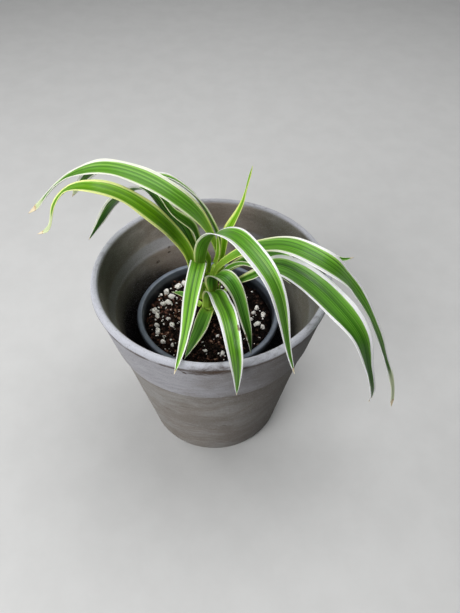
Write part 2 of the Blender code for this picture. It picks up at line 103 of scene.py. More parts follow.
# Each leaf: its route in mm; its width at the base and at the widest point, where that
# point lies and how full the tip is; its roll in degrees at the base, middle, four
# fifths and tip; the share of each half that is pale, on the -side and the +side, towards
# its foot, its middle and its tip; how creamy the pale part is; how yellow the green is;
# how long the pale foot, the dry tip and the fading end are, as shares of its length; how
# much painted shade darkens the green towards the tip; how dark a band of painted shade
# lies next to the middle, on the +side or, below 0, on the -side; and how broad the tip
# stays in mm. What is left out is 0.
LEAVES = {
    "long_left_upper": dict(
        route=((2, 13.5, 146.5), (3, 14, 152.5), (1.5, 14, 161.5), (-6, 13.5, 182.5),
               (-21, 10.5, 204), (-42, 17, 215), (-68, 23, 218.5), (-91, 30.5, 207),
               (-106.5, 36, 192), (-116, 37.5, 181), (-126, 39, 172.5)),
        shape=(6.9, 16.6, 0.33, 2.1), roll=(-4, -6, 7, -41),
        low=(0.26, 0.24, 0.3), high=(0.22, 0.22, 0.4),
        cream=0.3, tone=0.3, foot=0.16, dry=0.045, fade=0.1, deep=0.3, band=0.3, tip=4),
    "long_left_lower": dict(
        route=((-9, 5, 129.5), (-13, 5.5, 140.5), (-14.5, 4, 149.5), (-15.5, 4, 160.5),
               (-24, 6, 177.5), (-35, 2.5, 195.5), (-52, 4.5, 210), (-73, 4, 218.5),
               (-88, 6.5, 213.5), (-95.5, 0.5, 206), (-101, -2.5, 192.5), (-109, -2, 188)),
        shape=(8.2, 14.9, 0.48, 1.6), roll=(-45, -21, -4, -24),
        low=(0.24, 0.22, 0.3), high=(0.42, 0.32, 0.4),
        cream=0.85, tone=0.8, foot=0.2, dry=0.025, fade=0.12, deep=0.3, band=0.3, tip=3),
    "back_left_outer": dict(
        route=((2, 13, 132.5), (5.5, 13.5, 139.5), (7, 17, 147), (5, 22, 160.5),
               (-1, 25.5, 176.5), (-8, 26, 190.5), (-16.5, 25, 201.5), (-28, 27, 208),
               (-43, 28.5, 208.5), (-59.5, 32, 208.5), (-75, 38.5, 205.5), (-86, 43.5, 194),
               (-96.5, 51, 177)),
        shape=(7.3, 13, 0.54, 2.5), roll=(38, 21, 49, 66),
        low=(0.3, 0.3, 0.6), high=(0.25, 0.22, 0.5),
        cream=0.2, tone=0.25, foot=0.1, dry=0.02, fade=0.1, deep=0.6, tip=1.6),
    "back_left_drooping": dict(
        route=((-4.5, 10.5, 134), (-8, 14.5, 144.5), (-13, 17, 156), (-19.5, 19, 173.5),
               (-30, 22, 187), (-42, 30.5, 196), (-57, 37.5, 187.5), (-71, 45, 170.5),
               (-82, 49.5, 152), (-93, 55.5, 133)),
        shape=(7.6, 14.8, 0.4, 2), roll=(-3, 25, 39, 34),
        low=(0.2, 0.18, 0.42), high=(0.24, 0.2, 0.42),
        cream=0.25, tone=0.2, foot=0.14, dry=0.02, deep=0.9, tip=1.4),
    "back_left_inner": dict(
        route=((-4, 10, 140), (-3, 12, 149.5), (-7.5, 13, 159), (-12.5, 13.5, 178),
               (-24, 13, 191), (-31.5, 19.5, 199), (-36, 23.5, 202.5), (-38.5, 27.5, 201.5)),
        shape=(6.4, 10.3, 0.4, 1.8), roll=(-4, 11, 13, 3),
        low=(0.3, 0.26, 0.2), high=(0.26, 0.2, 0.2),
        cream=0.6, tone=0.3, foot=0.2, band=0.2, tip=1.1),
    "upright": dict(
        route=((5.5, 10, 142.5), (7.5, 11, 149), (9, 12.5, 157), (10.5, 14, 167.5),
               (16, 17.5, 179.5), (22, 21.5, 191), (25, 25.5, 201), (28, 29, 214)),
        shape=(4.6, 9.4, 0.42, 1.1), roll=(-8, -16, -42, 6),
        low=(0.15, 0.2, 0.05), high=(0.25, 0.42, 0.08),
        cream=0.95, tone=0.85, foot=0.14, tip=1),
    "front_right_arch": dict(
        route=((-4.5, 2, 131.5), (-8, -1.5, 138), (-8, 0, 147), (-7, 2.5, 153.5),
               (-6.5, 1, 161), (-5, 0, 171.5), (2, -6, 187), (14.5, -24, 200),
               (25, -43.5, 202), (34.5, -60, 195), (40.5, -70, 174), (44, -78, 156.5),
               (48, -83.5, 142.5)),
        shape=(6.8, 16.4, 0.4, 2.1), roll=(11, 15, 6, 0),
        low=(0.2, 0.44, 0.4), high=(0.16, 0.17, 0.32),
        cream=0, tone=0.25, foot=0.16, dry=0.022, band=0.3, tip=1.6),
    "front_left_hanging": dict(
        route=((-8, 1, 121), (-10.5, -4.5, 139), (-10.5, -7.5, 158), (-8.5, -14.5, 170.5),
               (-10, -26.5, 173), (-13.5, -44.5, 167), (-17, -64, 159), (-23.5, -87.5, 151.5)),
        shape=(7.3, 11.1, 0.46, 2), roll=(3, 5, 29, -21),
        low=(0.14, 0.16, 0.28), high=(0.15, 0.17, 0.32),
        cream=0.2, tone=0.45, foot=0.14, dry=0.02, tip=1.6),
    "on_soil": dict(
        route=((-3.5, -1.5, 105.5), (-3.5, -1.5, 111), (-7, -10.5, 111.5), (-12, -24.5, 110.5),
               (-20.5, -42, 107)),
        shape=(10.8, 11, 0.36, 1.6), roll=(13, -17, -2, -9),
        low=(0.06, 0.06, 0.04), high=(0.16, 0.2, 0.26),
        cream=0.5, tone=0.15, foot=0.16, band=0.6, tip=1.1),
    "front_middle": dict(
        route=((-3, -1.5, 114.5), (-3, -5.5, 124.5), (-2, -12, 139), (2, -25.5, 154.5),
               (5.5, -48, 168), (9, -70.5, 176), (11.5, -84.5, 169), (13, -88, 151.5),
               (13, -89, 130.5)),
        shape=(8.4, 12.7, 0.5, 2), roll=(3, -3, 0, -3),
        low=(0.3, 0.34, 0.3), high=(0.16, 0.18, 0.26),
        cream=0.04, tone=0.35, foot=0.12, dry=0.014, band=0.65, tip=1.6),
    "front_right_inner": dict(
        route=((0.5, 0, 124.5), (0.5, -4.5, 138.5), (1.5, -8, 152.5), (9, -16, 158.5),
               (15.5, -23, 151.5), (19.5, -35, 143.5), (23, -43.5, 130.5), (25, -45.5, 115.5)),
        shape=(7, 13.8, 0.42, 1.7), roll=(-12, 9, -1, -6),
        low=(0.3, 0.3, 0.3), high=(0.16, 0.13, 0.12),
        cream=0.35, tone=0.1, foot=0.14, deep=0.5, tip=1.2),
    "long_right_upper": dict(
        route=((2, 1, 138.5), (3.5, 1, 148.5), (9.5, -1, 159), (21.5, -3.5, 170),
               (37, -11, 181), (51.5, -25.5, 191), (71, -38.5, 187.5), (86, -39.5, 171),
               (102.5, -50.5, 145), (113.5, -57, 117.5), (121.5, -60, 95.5), (126.5, -61, 68.5)),
        shape=(5.8, 18.9, 0.49, 1.1), roll=(48, -16, -7, 25),
        low=(0.32, 0.36, 0.78), high=(0.17, 0.2, 0.3),
        cream=0.1, tone=0.25, foot=0.12, dry=0.034, fade=0.17, deep=0.8, band=-0.3, tip=3.6),
    "long_right_lower": dict(
        route=((4, 3.5, 117), (7.5, -0.5, 127), (11.5, -5, 136.5), (20.5, -10, 150),
               (30.5, -18, 164.5), (39.5, -26, 178.5), (57.5, -39.5, 179.5), (76, -55.5, 169),
               (89, -68.5, 155.5), (94, -74, 139.5), (100, -78.5, 118), (103.5, -72.5, 93.5)),
        shape=(5.6, 18, 0.61, 1.4), roll=(10, 34, -11, 0),
        low=(0.16, 0.16, 0.4), high=(0.4, 0.26, 0.36),
        cream=0, tone=0.2, foot=0.12, dry=0.04, fade=0.03, deep=0.7, band=0.25, tip=2.6),
    "back_right": dict(
        route=((5, 10.5, 128.5), (11, 15, 133.5), (23, 13.5, 145.5), (45.5, 9, 156.5),
               (70.5, 4.5, 160), (89.5, 0, 157.5), (97.5, 3, 156.5)),
        shape=(5.6, 11.2, 0.44, 2.1), roll=(5, 6, 12, 19),
        low=(0.2, 0.2, 0.2), high=(0.26, 0.26, 0.26),
        cream=0.2, tone=0.25, foot=0.12, dry=0.03, band=0.2, tip=1.1),
    "short_right": dict(
        route=((5.5, 6, 126), (7, 3, 138), (10, 0, 150), (20, 2.5, 153), (30.5, 0.5, 150.5),
               (43, 0.5, 145), (55.5, 0, 135)),
        shape=(4.5, 7.3, 0.38, 1.8), roll=(0, -13, -10, -6),
        low=(0.2, 0.2, 0.2), high=(0.2, 0.2, 0.2),
        cream=0.5, tone=0.3, foot=0.12, tip=1),
    "small_left": dict(
        route=((-9, 8.5, 106), (-14, 11.5, 108.5), (-20.5, 15, 111), (-30.5, 19, 111)),
        shape=(6, 6.5, 0.4, 1.6), roll=(2, 0, 0, 0),
        low=(0.05, 0.05, 0.05), high=(0.05, 0.05, 0.05),
        cream=0.6, tone=0.15, foot=0.15, tip=1),
    "young_spear": dict(
        route=((2.5, 7.5, 150), (4.5, 6.5, 158.5), (5, 8, 167), (4.5, 9.5, 175)),
        shape=(3.8, 4, 0.35, 1.6), roll=(0, -4, 9, 1),
        low=(0.22, 0.22, 0.22), high=(0.22, 0.22, 0.22),
        cream=0.9, tone=0.8, foot=0.25, tip=0.9),
}
LEAF_LOOKS = ("cream", "tone", "foot", "dry", "fade", "deep", "band")
# Through how many degrees each half of a blade curves up, at its base and farther on.
BASE_FOLD = 62.0
BLADE_FOLD = 30.0

# In mm: how far from the nursery pot's middle the grains and the broken pieces reach, how
# much lower the outermost grains lie, how clear of the crown's middle grains stay, and
# where on X the left heap ends.
GRAIN_REACH = 44.5
BROKEN_REACH = 44.0
GRAIN_DROP = 1.1
CROWN_CLEAR = 6.5
LEFT_HEAP_X = -12

# The crown's lowest and highest ring in mm over the soil, its rings and the points in each.
CROWN_FOOT, CROWN_TOP = -13.3, 46.2
CROWN_RINGS, CROWN_SIDES = 160, 96
# How far a full sheath reaches to each side in degrees, how far below its top it does so
# in mm, and how wide its edge is in degrees.
SHEATH_REACH, SHEATH_RISE, SHEATH_EDGE = 170, 26.0, 9.0

# The camera that fits the photograph: its place in metres, its turns in degrees.
CAMERA_AT = (0.0, -0.2965, 0.4349)
CAMERA_PITCH = -47.28
CAMERA_YAW = 2.437
CAMERA_ROLL = 0.169
SENSOR = 36.0
FOCAL_PIXELS = 600.0
PHOTO_HEIGHT = 613.0
# Each light: its name, and in metres its place and the width of its square.
LIGHTS = (("key_light", (-0.56, -0.70, 0.78), 0.7), ("top_light", (0.20, 0.28, 1.08), 0.9),
          ("back_light", (-0.76, 0.30, 0.74), 0.6))
LIGHTS_AIM = (0.0, 0.0, 0.12)
SKY_COLOR = (0.92, 0.96, 1.0, 1.0)
# Half the floor's width in metres.
FLOOR_REACH = 4.0

# How far apart the nodes lie in their editor.
NODE_COLUMN = 220
NODE_ROW = 190


def tint(*screen):
    """A colour given as it looks on screen, 0 to 255, as Blender's linear light."""
    shares = (value / 255.0 for value in screen)
    return tuple(v / 12.92 if v <= 0.04045 else ((v + 0.055) / 1.055) ** 2.4 for v in shares)


def sign(operation, swapped=False):
    """A method for an arithmetic sign: it adds one Math or Vector Math node."""
    def method(self, other):
        feeds = (other, self) if swapped else (self, other)
        return self.wires.math(operation, *feeds)
    return method


class Field:
    """A node's output. Arithmetic on it adds nodes to its tree."""

    def __init__(self, wires, socket):
        self.wires, self.socket = wires, socket
        self.many = socket.type in ("VECTOR", "RGBA")

    __add__ = sign("ADD")
    __sub__ = sign("SUBTRACT")
    __rsub__ = sign("SUBTRACT", swapped=True)
    __mul__ = sign("MULTIPLY")
    __truediv__ = sign("DIVIDE")
    __rtruediv__ = sign("DIVIDE", swapped=True)
    __mod__ = sign("MODULO")
    __pow__ = sign("POWER")

    def __floordiv__(self, other):
        return self.wires.math("FLOOR", self / other)

    def __abs__(self):
        return self.wires.math("ABSOLUTE", self)

    def part(self, index):
        """The x, y or z of a vector, by its index."""
        return self.wires.add("ShaderNodeSeparateXYZ", self, out=index)

    x = property(lambda self: self.part(0))
    y = property(lambda self: self.part(1))
    z = property(lambda self: self.part(2))

    def scaled(self, value):
        """A vector times a number."""
        return self.wires.add("ShaderNodeVectorMath", self, named=dict(Scale=value),
                              operation="SCALE")

    def turned(self, angle):
        """A vector turned about the Y axis."""
        return self.wires.add("ShaderNodeVectorRotate", rotation_type="Y_AXIS",
                              named=dict(Vector=self, Angle=angle))

    def noise(self, scale=1.0, detail=2.0, rough=0.5, out=0):
        """Soft noise about 0.5 at this place; out 1 gives a vector."""
        return self.wires.add("ShaderNodeTexNoise", out=out, named=dict(
            Vector=self, Scale=scale, Detail=detail, Roughness=rough))

    def span(self, low, high, start, end, **settings):
        """Map low..high to start..end."""
        return self.wires.add("ShaderNodeMapRange", self, low, high, start, end, **settings)

    def smooth(self, low, high):
        """0 at low, 1 at high, eased between."""
        return self.span(low, high, 0.0, 1.0, interpolation_type="SMOOTHSTEP")

    def into(self, color, share):
        """This colour mixed towards another by a share."""
        return self.wires.tone(share, self, color)


class Wiring:
    """Adds nodes to a tree and feeds each one's open inputs in order."""

    def __init__(self, tree):
        self.tree = tree
        self.rows = {}
        self.columns = {}

    def feed(self, node, socket, value):
        """Link a socket or set its own value; None leaves it."""
        if isinstance(value, Field):
            self.tree.links.new(value.socket, socket)
            before = self.columns.get(value.socket.node, 0)
            self.columns[node] = max(self.columns[node], before + 1)
        elif socket.type == "RGBA" and len(value) == 3:
            socket.default_value = (*value, 1.0)
        elif value is not None:
            socket.default_value = value

    def add(self, kind, *feeds, named=None, out=0, **settings):
        """Add one node and return one of its outputs."""
        node = self.tree.nodes.new(kind)
        self.columns[node] = 0
        for key, value in settings.items():
            setattr(node, key, value)
        for socket, value in zip([s for s in node.inputs if s.enabled], feeds):
            self.feed(node, socket, value)
        for name, value in (named or {}).items():
            self.feed(node, node.inputs[name], value)
        column = self.columns[node]
        self.rows[column] = self.rows.get(column, 0) + 1
        node.location = (NODE_COLUMN * column, -NODE_ROW * self.rows[column])
        return Field(self, [s for s in node.outputs if s.enabled][out])

    def math(self, operation, *feeds, clamp=False):
        """One Math node, or one Vector Math node where a feed is a vector."""
        if any(isinstance(f, tuple) or getattr(f, "many", False) for f in feeds):
            return self.add("ShaderNodeVectorMath", *feeds, operation=operation)
        return self.add("ShaderNodeMath", *feeds, operation=operation, use_clamp=clamp)

    def join(self, x, y, z):
        """A vector from three numbers."""
        return self.add("ShaderNodeCombineXYZ", x, y, z)

    def blend(self, share, first, second):
        """Mix two numbers."""
        return self.add("ShaderNodeMix", share, first, second, data_type="FLOAT")

    def tone(self, share, first, second):
        """Mix two colours."""
        return self.add("ShaderNodeMix", share, first, second, data_type="RGBA")

    def attribute(self, name):
        """A number stored on the mesh, in a material."""
        return self.add("ShaderNodeAttribute", attribute_name=name, out=2)

    def read(self, name, kind="FLOAT"):
        """A value stored on the mesh, in a geometry tree."""
        return self.add("GeometryNodeInputNamedAttribute", name, data_type=kind)

    def store(self, geometry, name, value):
        """Store a number on the points."""
        return self.add("GeometryNodeStoreNamedAttribute", data_type="FLOAT", domain="POINT",
                        named=dict(Geometry=geometry, Name=name, Value=value))


def new_finish(name, **surface):
    """A material's wiring and Object coordinates; surface holds the shader's own values."""
    made = bpy.data.materials.new(name)
    made.use_nodes = True
    wires = Wiring(made.node_tree)
    wires.finish = made
    wires.shader = made.node_tree.nodes["Principled BSDF"]
    wires.columns[wires.shader] = 0
    for key, value in surface.items():
        wires.shader.inputs[key.replace("_", " ")].default_value = value
    return wires, wires.add("ShaderNodeTexCoord", out=3)


def finished(wires, color, roughness, relief, depth, strength):
    """Feed the surface shader with colour, roughness and a bump; gives the material."""
    shader = wires.shader
    bump = wires.add("ShaderNodeBump", named=dict(
        Strength=strength, Distance=depth, Height=relief))
    for name, value in (("Base Color", color), ("Roughness", roughness), ("Normal", bump)):
        wires.feed(shader, shader.inputs[name], value)
    right = NODE_COLUMN * (wires.columns[shader] + 1)
    shader.location = (right, 0)
    wires.tree.nodes["Material Output"].location = (right + 1.5 * NODE_COLUMN, 0)
    return wires.finish


def geometry_tree(name, **inputs):
    """A Geometry Nodes tree with named inputs; gives its wiring and the inputs' fields."""
    tree = bpy.data.node_groups.new(name, "GeometryNodeTree")

    def socket(label, kind, in_out="INPUT"):
        return tree.interface.new_socket(
            name=label, in_out=in_out, socket_type="NodeSocket" + kind)
    socket("Geometry", "Geometry")
    kinds = {int: "Int", float: "Float", tuple: "Vector"}
    for key, default in inputs.items():
        made = socket(key.replace("_", " ").capitalize(), kinds[type(default)])
        made.default_value = default
    socket("Material", "Material")
    socket("Geometry", "Geometry", "OUTPUT")
    wires = Wiring(tree)
    entry = tree.nodes.new("NodeGroupInput")
    wires.columns[entry] = 0
    entry.location = (-NODE_COLUMN, 0)
    return wires, SimpleNamespace(**{
        key: Field(wires, out)
        for key, out in zip(("geometry", *inputs, "material"), entry.outputs)})


def end_tree(wires, geometry, material):
    """Realize, set the material and leave; gives the tree."""
    real = wires.add("GeometryNodeRealizeInstances", geometry)
    painted = wires.add("GeometryNodeSetMaterial", named=dict(Geometry=real, Material=material))
    leave = wires.tree.nodes.new("NodeGroupOutput")
    leave.location = (NODE_COLUMN * (wires.columns[painted.socket.node] + 1), 0)
    wires.tree.links.new(painted.socket, leave.inputs[0])
    return wires.tree


def laid_rows(wires, source, columns, numbers, vectors=()):
    """A grid with a row for each point of the source, and the source's values at each row."""
    rows = wires.add("GeometryNodeAttributeDomainSize", source, component="MESH")
    grid = wires.add("GeometryNodeMeshGrid", 1.0, 1.0, rows, columns)
    index = wires.add("GeometryNodeInputIndex")
    row = (index + 0.5) // columns

    def at_row(value, kind):
        return wires.add("GeometryNodeSampleIndex", data_type=kind, domain="POINT",
                         named=dict(Geometry=source, Value=value, Index=row))
    values = {name: at_row(wires.read(name, kind), kind)
              for kind, names in (("FLOAT", numbers), ("FLOAT_VECTOR", vectors))
              for name in names}
    middle = at_row(wires.add("GeometryNodeInputPosition"), "FLOAT_VECTOR")
    return SimpleNamespace(grid=grid, rows=rows, row=row, column=index - row * columns,
                           middle=middle, **values)


def turned_tree():
    """A profile turned about an upright axis, with lathe marks and a slight unevenness."""
    wires, given = geometry_tree(
        "Turned wall", steps=256, centre=(0, 0, 0), unevenness=0.0, uneven_size=0.03,
        lathe_depth=0.0, lathe_pitch=0.002, grain_depth=0.0, grain_size=0.003,
        pit_place=(0, 0, -1), pit_radius=0.001)
    laid = laid_rows(wires, given.geometry, given.steps + 1.0, ("inside",))
    angle = laid.column % given.steps / given.steps * math.tau
    outward = wires.join(wires.math("COSINE", angle), wires.math("SINE", angle), 0.0)
    radius = laid.middle.x
    spot = outward * wires.join(radius, radius, 0.0) + wires.join(0.0, 0.0, laid.middle.z)
    shaped = wires.add("GeometryNodeSetPosition", named=dict(
        Geometry=laid.grid, Position=spot + given.centre))
    shaped = wires.store(shaped, "inside", laid.inside)
    shaped = wires.add("GeometryNodeMergeByDistance", named=dict(
        Geometry=shaped, Distance=0.000004))
    here = wires.add("GeometryNodeInputPosition")

    def wave(place, size, detail=2.0):
        """Noise about 0 whose features are that size."""
        return place.noise(1.0 / size, detail) - 0.5
    uneven = wave(here, given.uneven_size) * given.unevenness
    lathe = wave(here * (0.06, 0.06, 1.0), given.lathe_pitch, 3.0) * given.lathe_depth
    grain = wave(here, given.grain_size, 3.0) * given.grain_depth
    away = wires.math("DISTANCE", here, given.pit_place)
    pit = wires.math("SUBTRACT", 1.0, away / given.pit_radius, clamp=True)
    push = (uneven + lathe) + (grain + pit * given.pit_radius * -0.7)
    # The foot stays flat, so that the pot stands where its solid stands.
    push = push * here.z.smooth(0.0002, 0.004)
    moved = wires.add("GeometryNodeSetPosition", named=dict(
        Geometry=shaped, Offset=wires.add("GeometryNodeInputNormal").scaled(push)))
    moved = wires.add("GeometryNodeSetShadeSmooth", moved)
    return end_tree(wires, moved, given.material)


def leaf_tree():
    """A leaf blade laid over its stations, folded, grooved and gently waved."""
    wires, given = geometry_tree(
        "Leaf blade", points_across=25, channel=1.6, midrib_depth=0.0002, edge_wave=0.0004,
        wave_length=0.03, phase=0.0, cream=0.2, tone=0.5, foot=0.1, dry=0.02, fade=0.0,
        deep=0.0, band=0.0, seed=0.0)
    laid = laid_rows(wires, given.geometry, given.points_across,
                     ("half", "fold", "reach", "low", "high"), ("side", "upper"))
    across = (laid.column / (given.points_across - 1.0)).span(0.0, 1.0, -1.0, 1.0)
    along = laid.row / (laid.rows - 1.0)
    bend = laid.half / laid.fold
    out = bend * wires.math("SINE", across * laid.fold)
    edge_lift = bend * (1.0 - wires.math("COSINE", laid.fold))
    from_rib = abs(across)
    # The relief grows with the blade: it is as given where the blade is 16 mm wide.
    scaled = laid.half / 0.008
    lift = edge_lift * from_rib ** given.channel
    lift = lift - from_rib.smooth(0.16, 0.0) * given.midrib_depth * scaled
    # The two edges wave out of step, and not at the foot.
    turn = laid.reach / given.wave_length * math.tau + (given.phase + across * 1.1)
    ripple = wires.math("SINE", turn) * given.edge_wave * from_rib ** 2.0
    lift = lift + ripple * along.smooth(0.25, 0.5) * scaled
    spot = laid.middle + laid.side.scaled(out) + laid.upper.scaled(lift)
    shaped = wires.add("GeometryNodeSetPosition", named=dict(
        Geometry=laid.grid, Position=spot))
    shaped = wires.add("GeometryNodeSetShadeSmooth", shaped)
    stored = dict(across=across, along=along, reach=laid.reach, half=laid.half,
                  pale_low=laid.low, pale_high=laid.high, seed=given.seed,
                  **{key: getattr(given, key) for key in LEAF_LOOKS})
    for name, value in stored.items():
        shaped = wires.store(shaped, name, value)
    return end_tree(wires, shaped, given.material)


def grain_tree():
    """Uneven grains on the points given, each with its own size and turn."""
    wires, given = geometry_tree(
        "Grains", fineness=2, stretch=(1, 1, 1), tilt=3.14, ruggedness=0.3, lump_size=0.5, seed=1)

    def random(low, high, seed):
        """A random vector for each point."""
        return wires.add("FunctionNodeRandomValue", (low,) * 3, (high,) * 3, None, seed,
                         data_type="FLOAT_VECTOR")
    grain = wires.add("GeometryNodeMeshIcoSphere", 1.0, given.fineness)
    points = wires.add("GeometryNodeMeshToPoints", given.geometry)
    turn = random(-1, 1, given.seed) * wires.join(given.tilt, given.tilt, math.pi)
    turn = wires.add("FunctionNodeEulerToRotation", turn)
    size = wires.read("size")
    scale = (given.stretch * random(0.7, 1.3, given.seed + 50.0)).scaled(size)
    many = wires.add("GeometryNodeInstanceOnPoints", named=dict(
        Points=points, Instance=grain, Rotation=turn, Scale=scale))
    many = wires.add("GeometryNodeRealizeInstances", many)
    lump = given.lump_size * size
    place = wires.add("GeometryNodeInputPosition") / wires.join(lump, lump, lump)
    push = (place.noise(out=1) - (0.5, 0.5, 0.5)).scaled(size * given.ruggedness)
    many = wires.add("GeometryNodeSetPosition", named=dict(Geometry=many, Offset=push))
    return end_tree(wires, many, given.material)


def linked(name, data):
    """A new object in the scene."""
    made = bpy.data.objects.new(name, data)
    bpy.context.scene.collection.objects.link(made)
    return made


def new_mesh(name, verts, edges=(), faces=()):
    """A mesh from its points, edges and faces."""
    mesh = bpy.data.meshes.new(name)
    mesh.from_pydata([tuple(v) for v in verts], edges, faces)
    return mesh


def line_mesh(name, points, **values):
    """A chain of points joined by edges, with values stored on the points."""
    mesh = new_mesh(name, points, [(i, i + 1) for i in range(len(points) - 1)])
    for key, value in values.items():
        value = np.asarray(value, dtype=np.float32)
        kind, field = ("FLOAT_VECTOR", "vector") if value.ndim == 2 else ("FLOAT", "value")
        mesh.attributes.new(key, kind, "POINT").data.foreach_set(field, value.ravel())
    return mesh


def settle(piece):
    """Turn a piece and its modifiers into a plain mesh."""
    bpy.context.view_layer.update()
    graph = bpy.context.evaluated_depsgraph_get()
    plain = bpy.data.meshes.new_from_object(
        piece.evaluated_get(graph), preserve_all_data_layers=True, depsgraph=graph)
    piece.modifiers.clear()
    piece.data = plain
    return plain


def grow(name, mesh, tree, finishes, thickness=0.0, **values):
    """Run a tree on a mesh and keep the result as a plain mesh."""
    made = linked(name, mesh)
    shaped = made.modifiers.new("shape", "NODES")
    shaped.node_group = tree
    values["material"] = finishes[0]
    for item in tree.interface.items_tree:
        key = item.name.replace(" ", "_").lower()
        if item.item_type == "SOCKET" and item.in_out == "INPUT" and key in values:
            shaped[item.identifier] = values[key]
    if thickness:
        wall = made.modifiers.new("wall", "SOLIDIFY")
        wall.thickness = thickness
        wall.offset = 0.0
        wall.material_offset = 1
        wall.use_rim = True
    plain = settle(made)
    plain.name = name
    plain.materials.clear()
    for finish in finishes:
        plain.materials.append(finish)
    if not plain.polygons:
        raise RuntimeError(f"{name} came out empty")
    return made


def drilled(piece, spots, radius, low, high, sides=32):
    """Cut round holes at the spots straight up through a piece; sizes in mm."""
    turns = [math.tau * i / sides for i in range(sides)]
    verts, faces = [], []
    for x, y in spots:
        first = len(verts)
        verts += [((x + radius * math.cos(t)) * MM, (y + radius * math.sin(t)) * MM, z * MM)
                  for z in (low, high) for t in turns]
        ring = range(first, first + sides)
        faces += [tuple(reversed(ring)), tuple(i + sides for i in ring)]
        faces += [(i, after, after + sides, i + sides)
                  for i, after in zip(ring, (*ring[1:], first))]
    drills = linked("drills", new_mesh("drills", verts, faces=faces))
    cut = piece.modifiers.new("cut", "BOOLEAN")
    cut.object = drills
    cut.operation = "DIFFERENCE"
    cut.solver = "EXACT"
    settle(piece)
    bpy.data.objects.remove(drills)


def placed(piece, slot, *nodes):
    """Let a piece ride on the body and stand for its nodes; slot is not used."""
    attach(piece, BODY)
    if nodes:
        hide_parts(*nodes)


def fine_profile(profile, step, close_step, long_run=3.5):
    """Points along a profile, close together on its short runs, with every corner kept."""
    rows = [np.array(profile[0], float)]
    for start, end in zip(profile, profile[1:]):
        start, end = np.array(start, float), np.array(end, float)
        length = float(np.linalg.norm(end[:2] - start[:2]))
        count = max(1, math.ceil(length / (step if length > long_run else close_step)))
        rows += [start + (end - start) * (i / count) for i in range(1, count + 1)]
    return np.array(rows)


def turned_piece(name, rows, finish, **values):
    """A piece turned from its fine profile."""
    chain = line_mesh(name + "_profile", [(r * MM, 0, z * MM) for r, z, _ in rows],
                      inside=rows[:, 2])
    tree = bpy.data.node_groups.get("Turned wall") or turned_tree()
    return grow(name, chain, tree, (finish,), **values)


# Where the clay has its one pit, in metres.
CLAY_PIT = (0.0055, -0.0590, 0.0500)
# Brown marks on the clay, the second a painted shadow of a leaf tip: place and size in metres,
# slant in radians and strength.
CLAY_MARKS = (
    ((-0.0040, -0.0812, 0.1443), (0.0185, 0.02, 0.0066), 0.04, 1.0),
    # A painted shadow of a leaf tip, a thin slanted line below the front lip.
    ((-0.0191, -0.0790, 0.1418), (0.0056, 0.02, 0.0012), -0.9, 0.9),
    ((0.0300, -0.0757, 0.1450), (0.0150, 0.02, 0.0024), 0.0, 0.6),
    ((0.0440, -0.0680, 0.1350), (0.0080, 0.02, 0.0050), 0.3, 0.25),
    ((-0.0620, -0.0530, 0.1450), (0.0140, 0.02, 0.0024), 0.0, 0.6),
    ((-0.0240, -0.0640, 0.0800), (0.0090, 0.02, 0.0007), 0.35, 0.5),
    ((-0.0330, -0.0550, 0.0640), (0.0080, 0.02, 0.0007), -0.20, 0.5),
    ((-0.0200, -0.0600, 0.0480), (0.0120, 0.02, 0.0008), -0.12, 0.45),
    ((0.0060, -0.0595, 0.0505), (0.0022, 0.02, 0.0012), 0.0, 0.7),
    ((-0.0421, 0.0527, 0.1106), (0.0019, 0.004, 0.0014), 0.0, 0.85),
    ((-0.0334, 0.0597, 0.1145), (0.0016, 0.004, 0.0012), 0.0, 0.85),
    ((-0.0331, 0.0611, 0.1185), (0.0013, 0.004, 0.0011), 0.0, 0.8),
)
# Brown nicks in the leaf margins: place and size in metres.
LEAF_NICKS = (
    ((0.0148, -0.0752, 0.1762), 0.0017), ((0.0142, -0.0735, 0.1768), 0.0010),
    ((0.0211, -0.0454, 0.1341), 0.0014), ((0.0224, -0.0462, 0.1290), 0.0016),
)


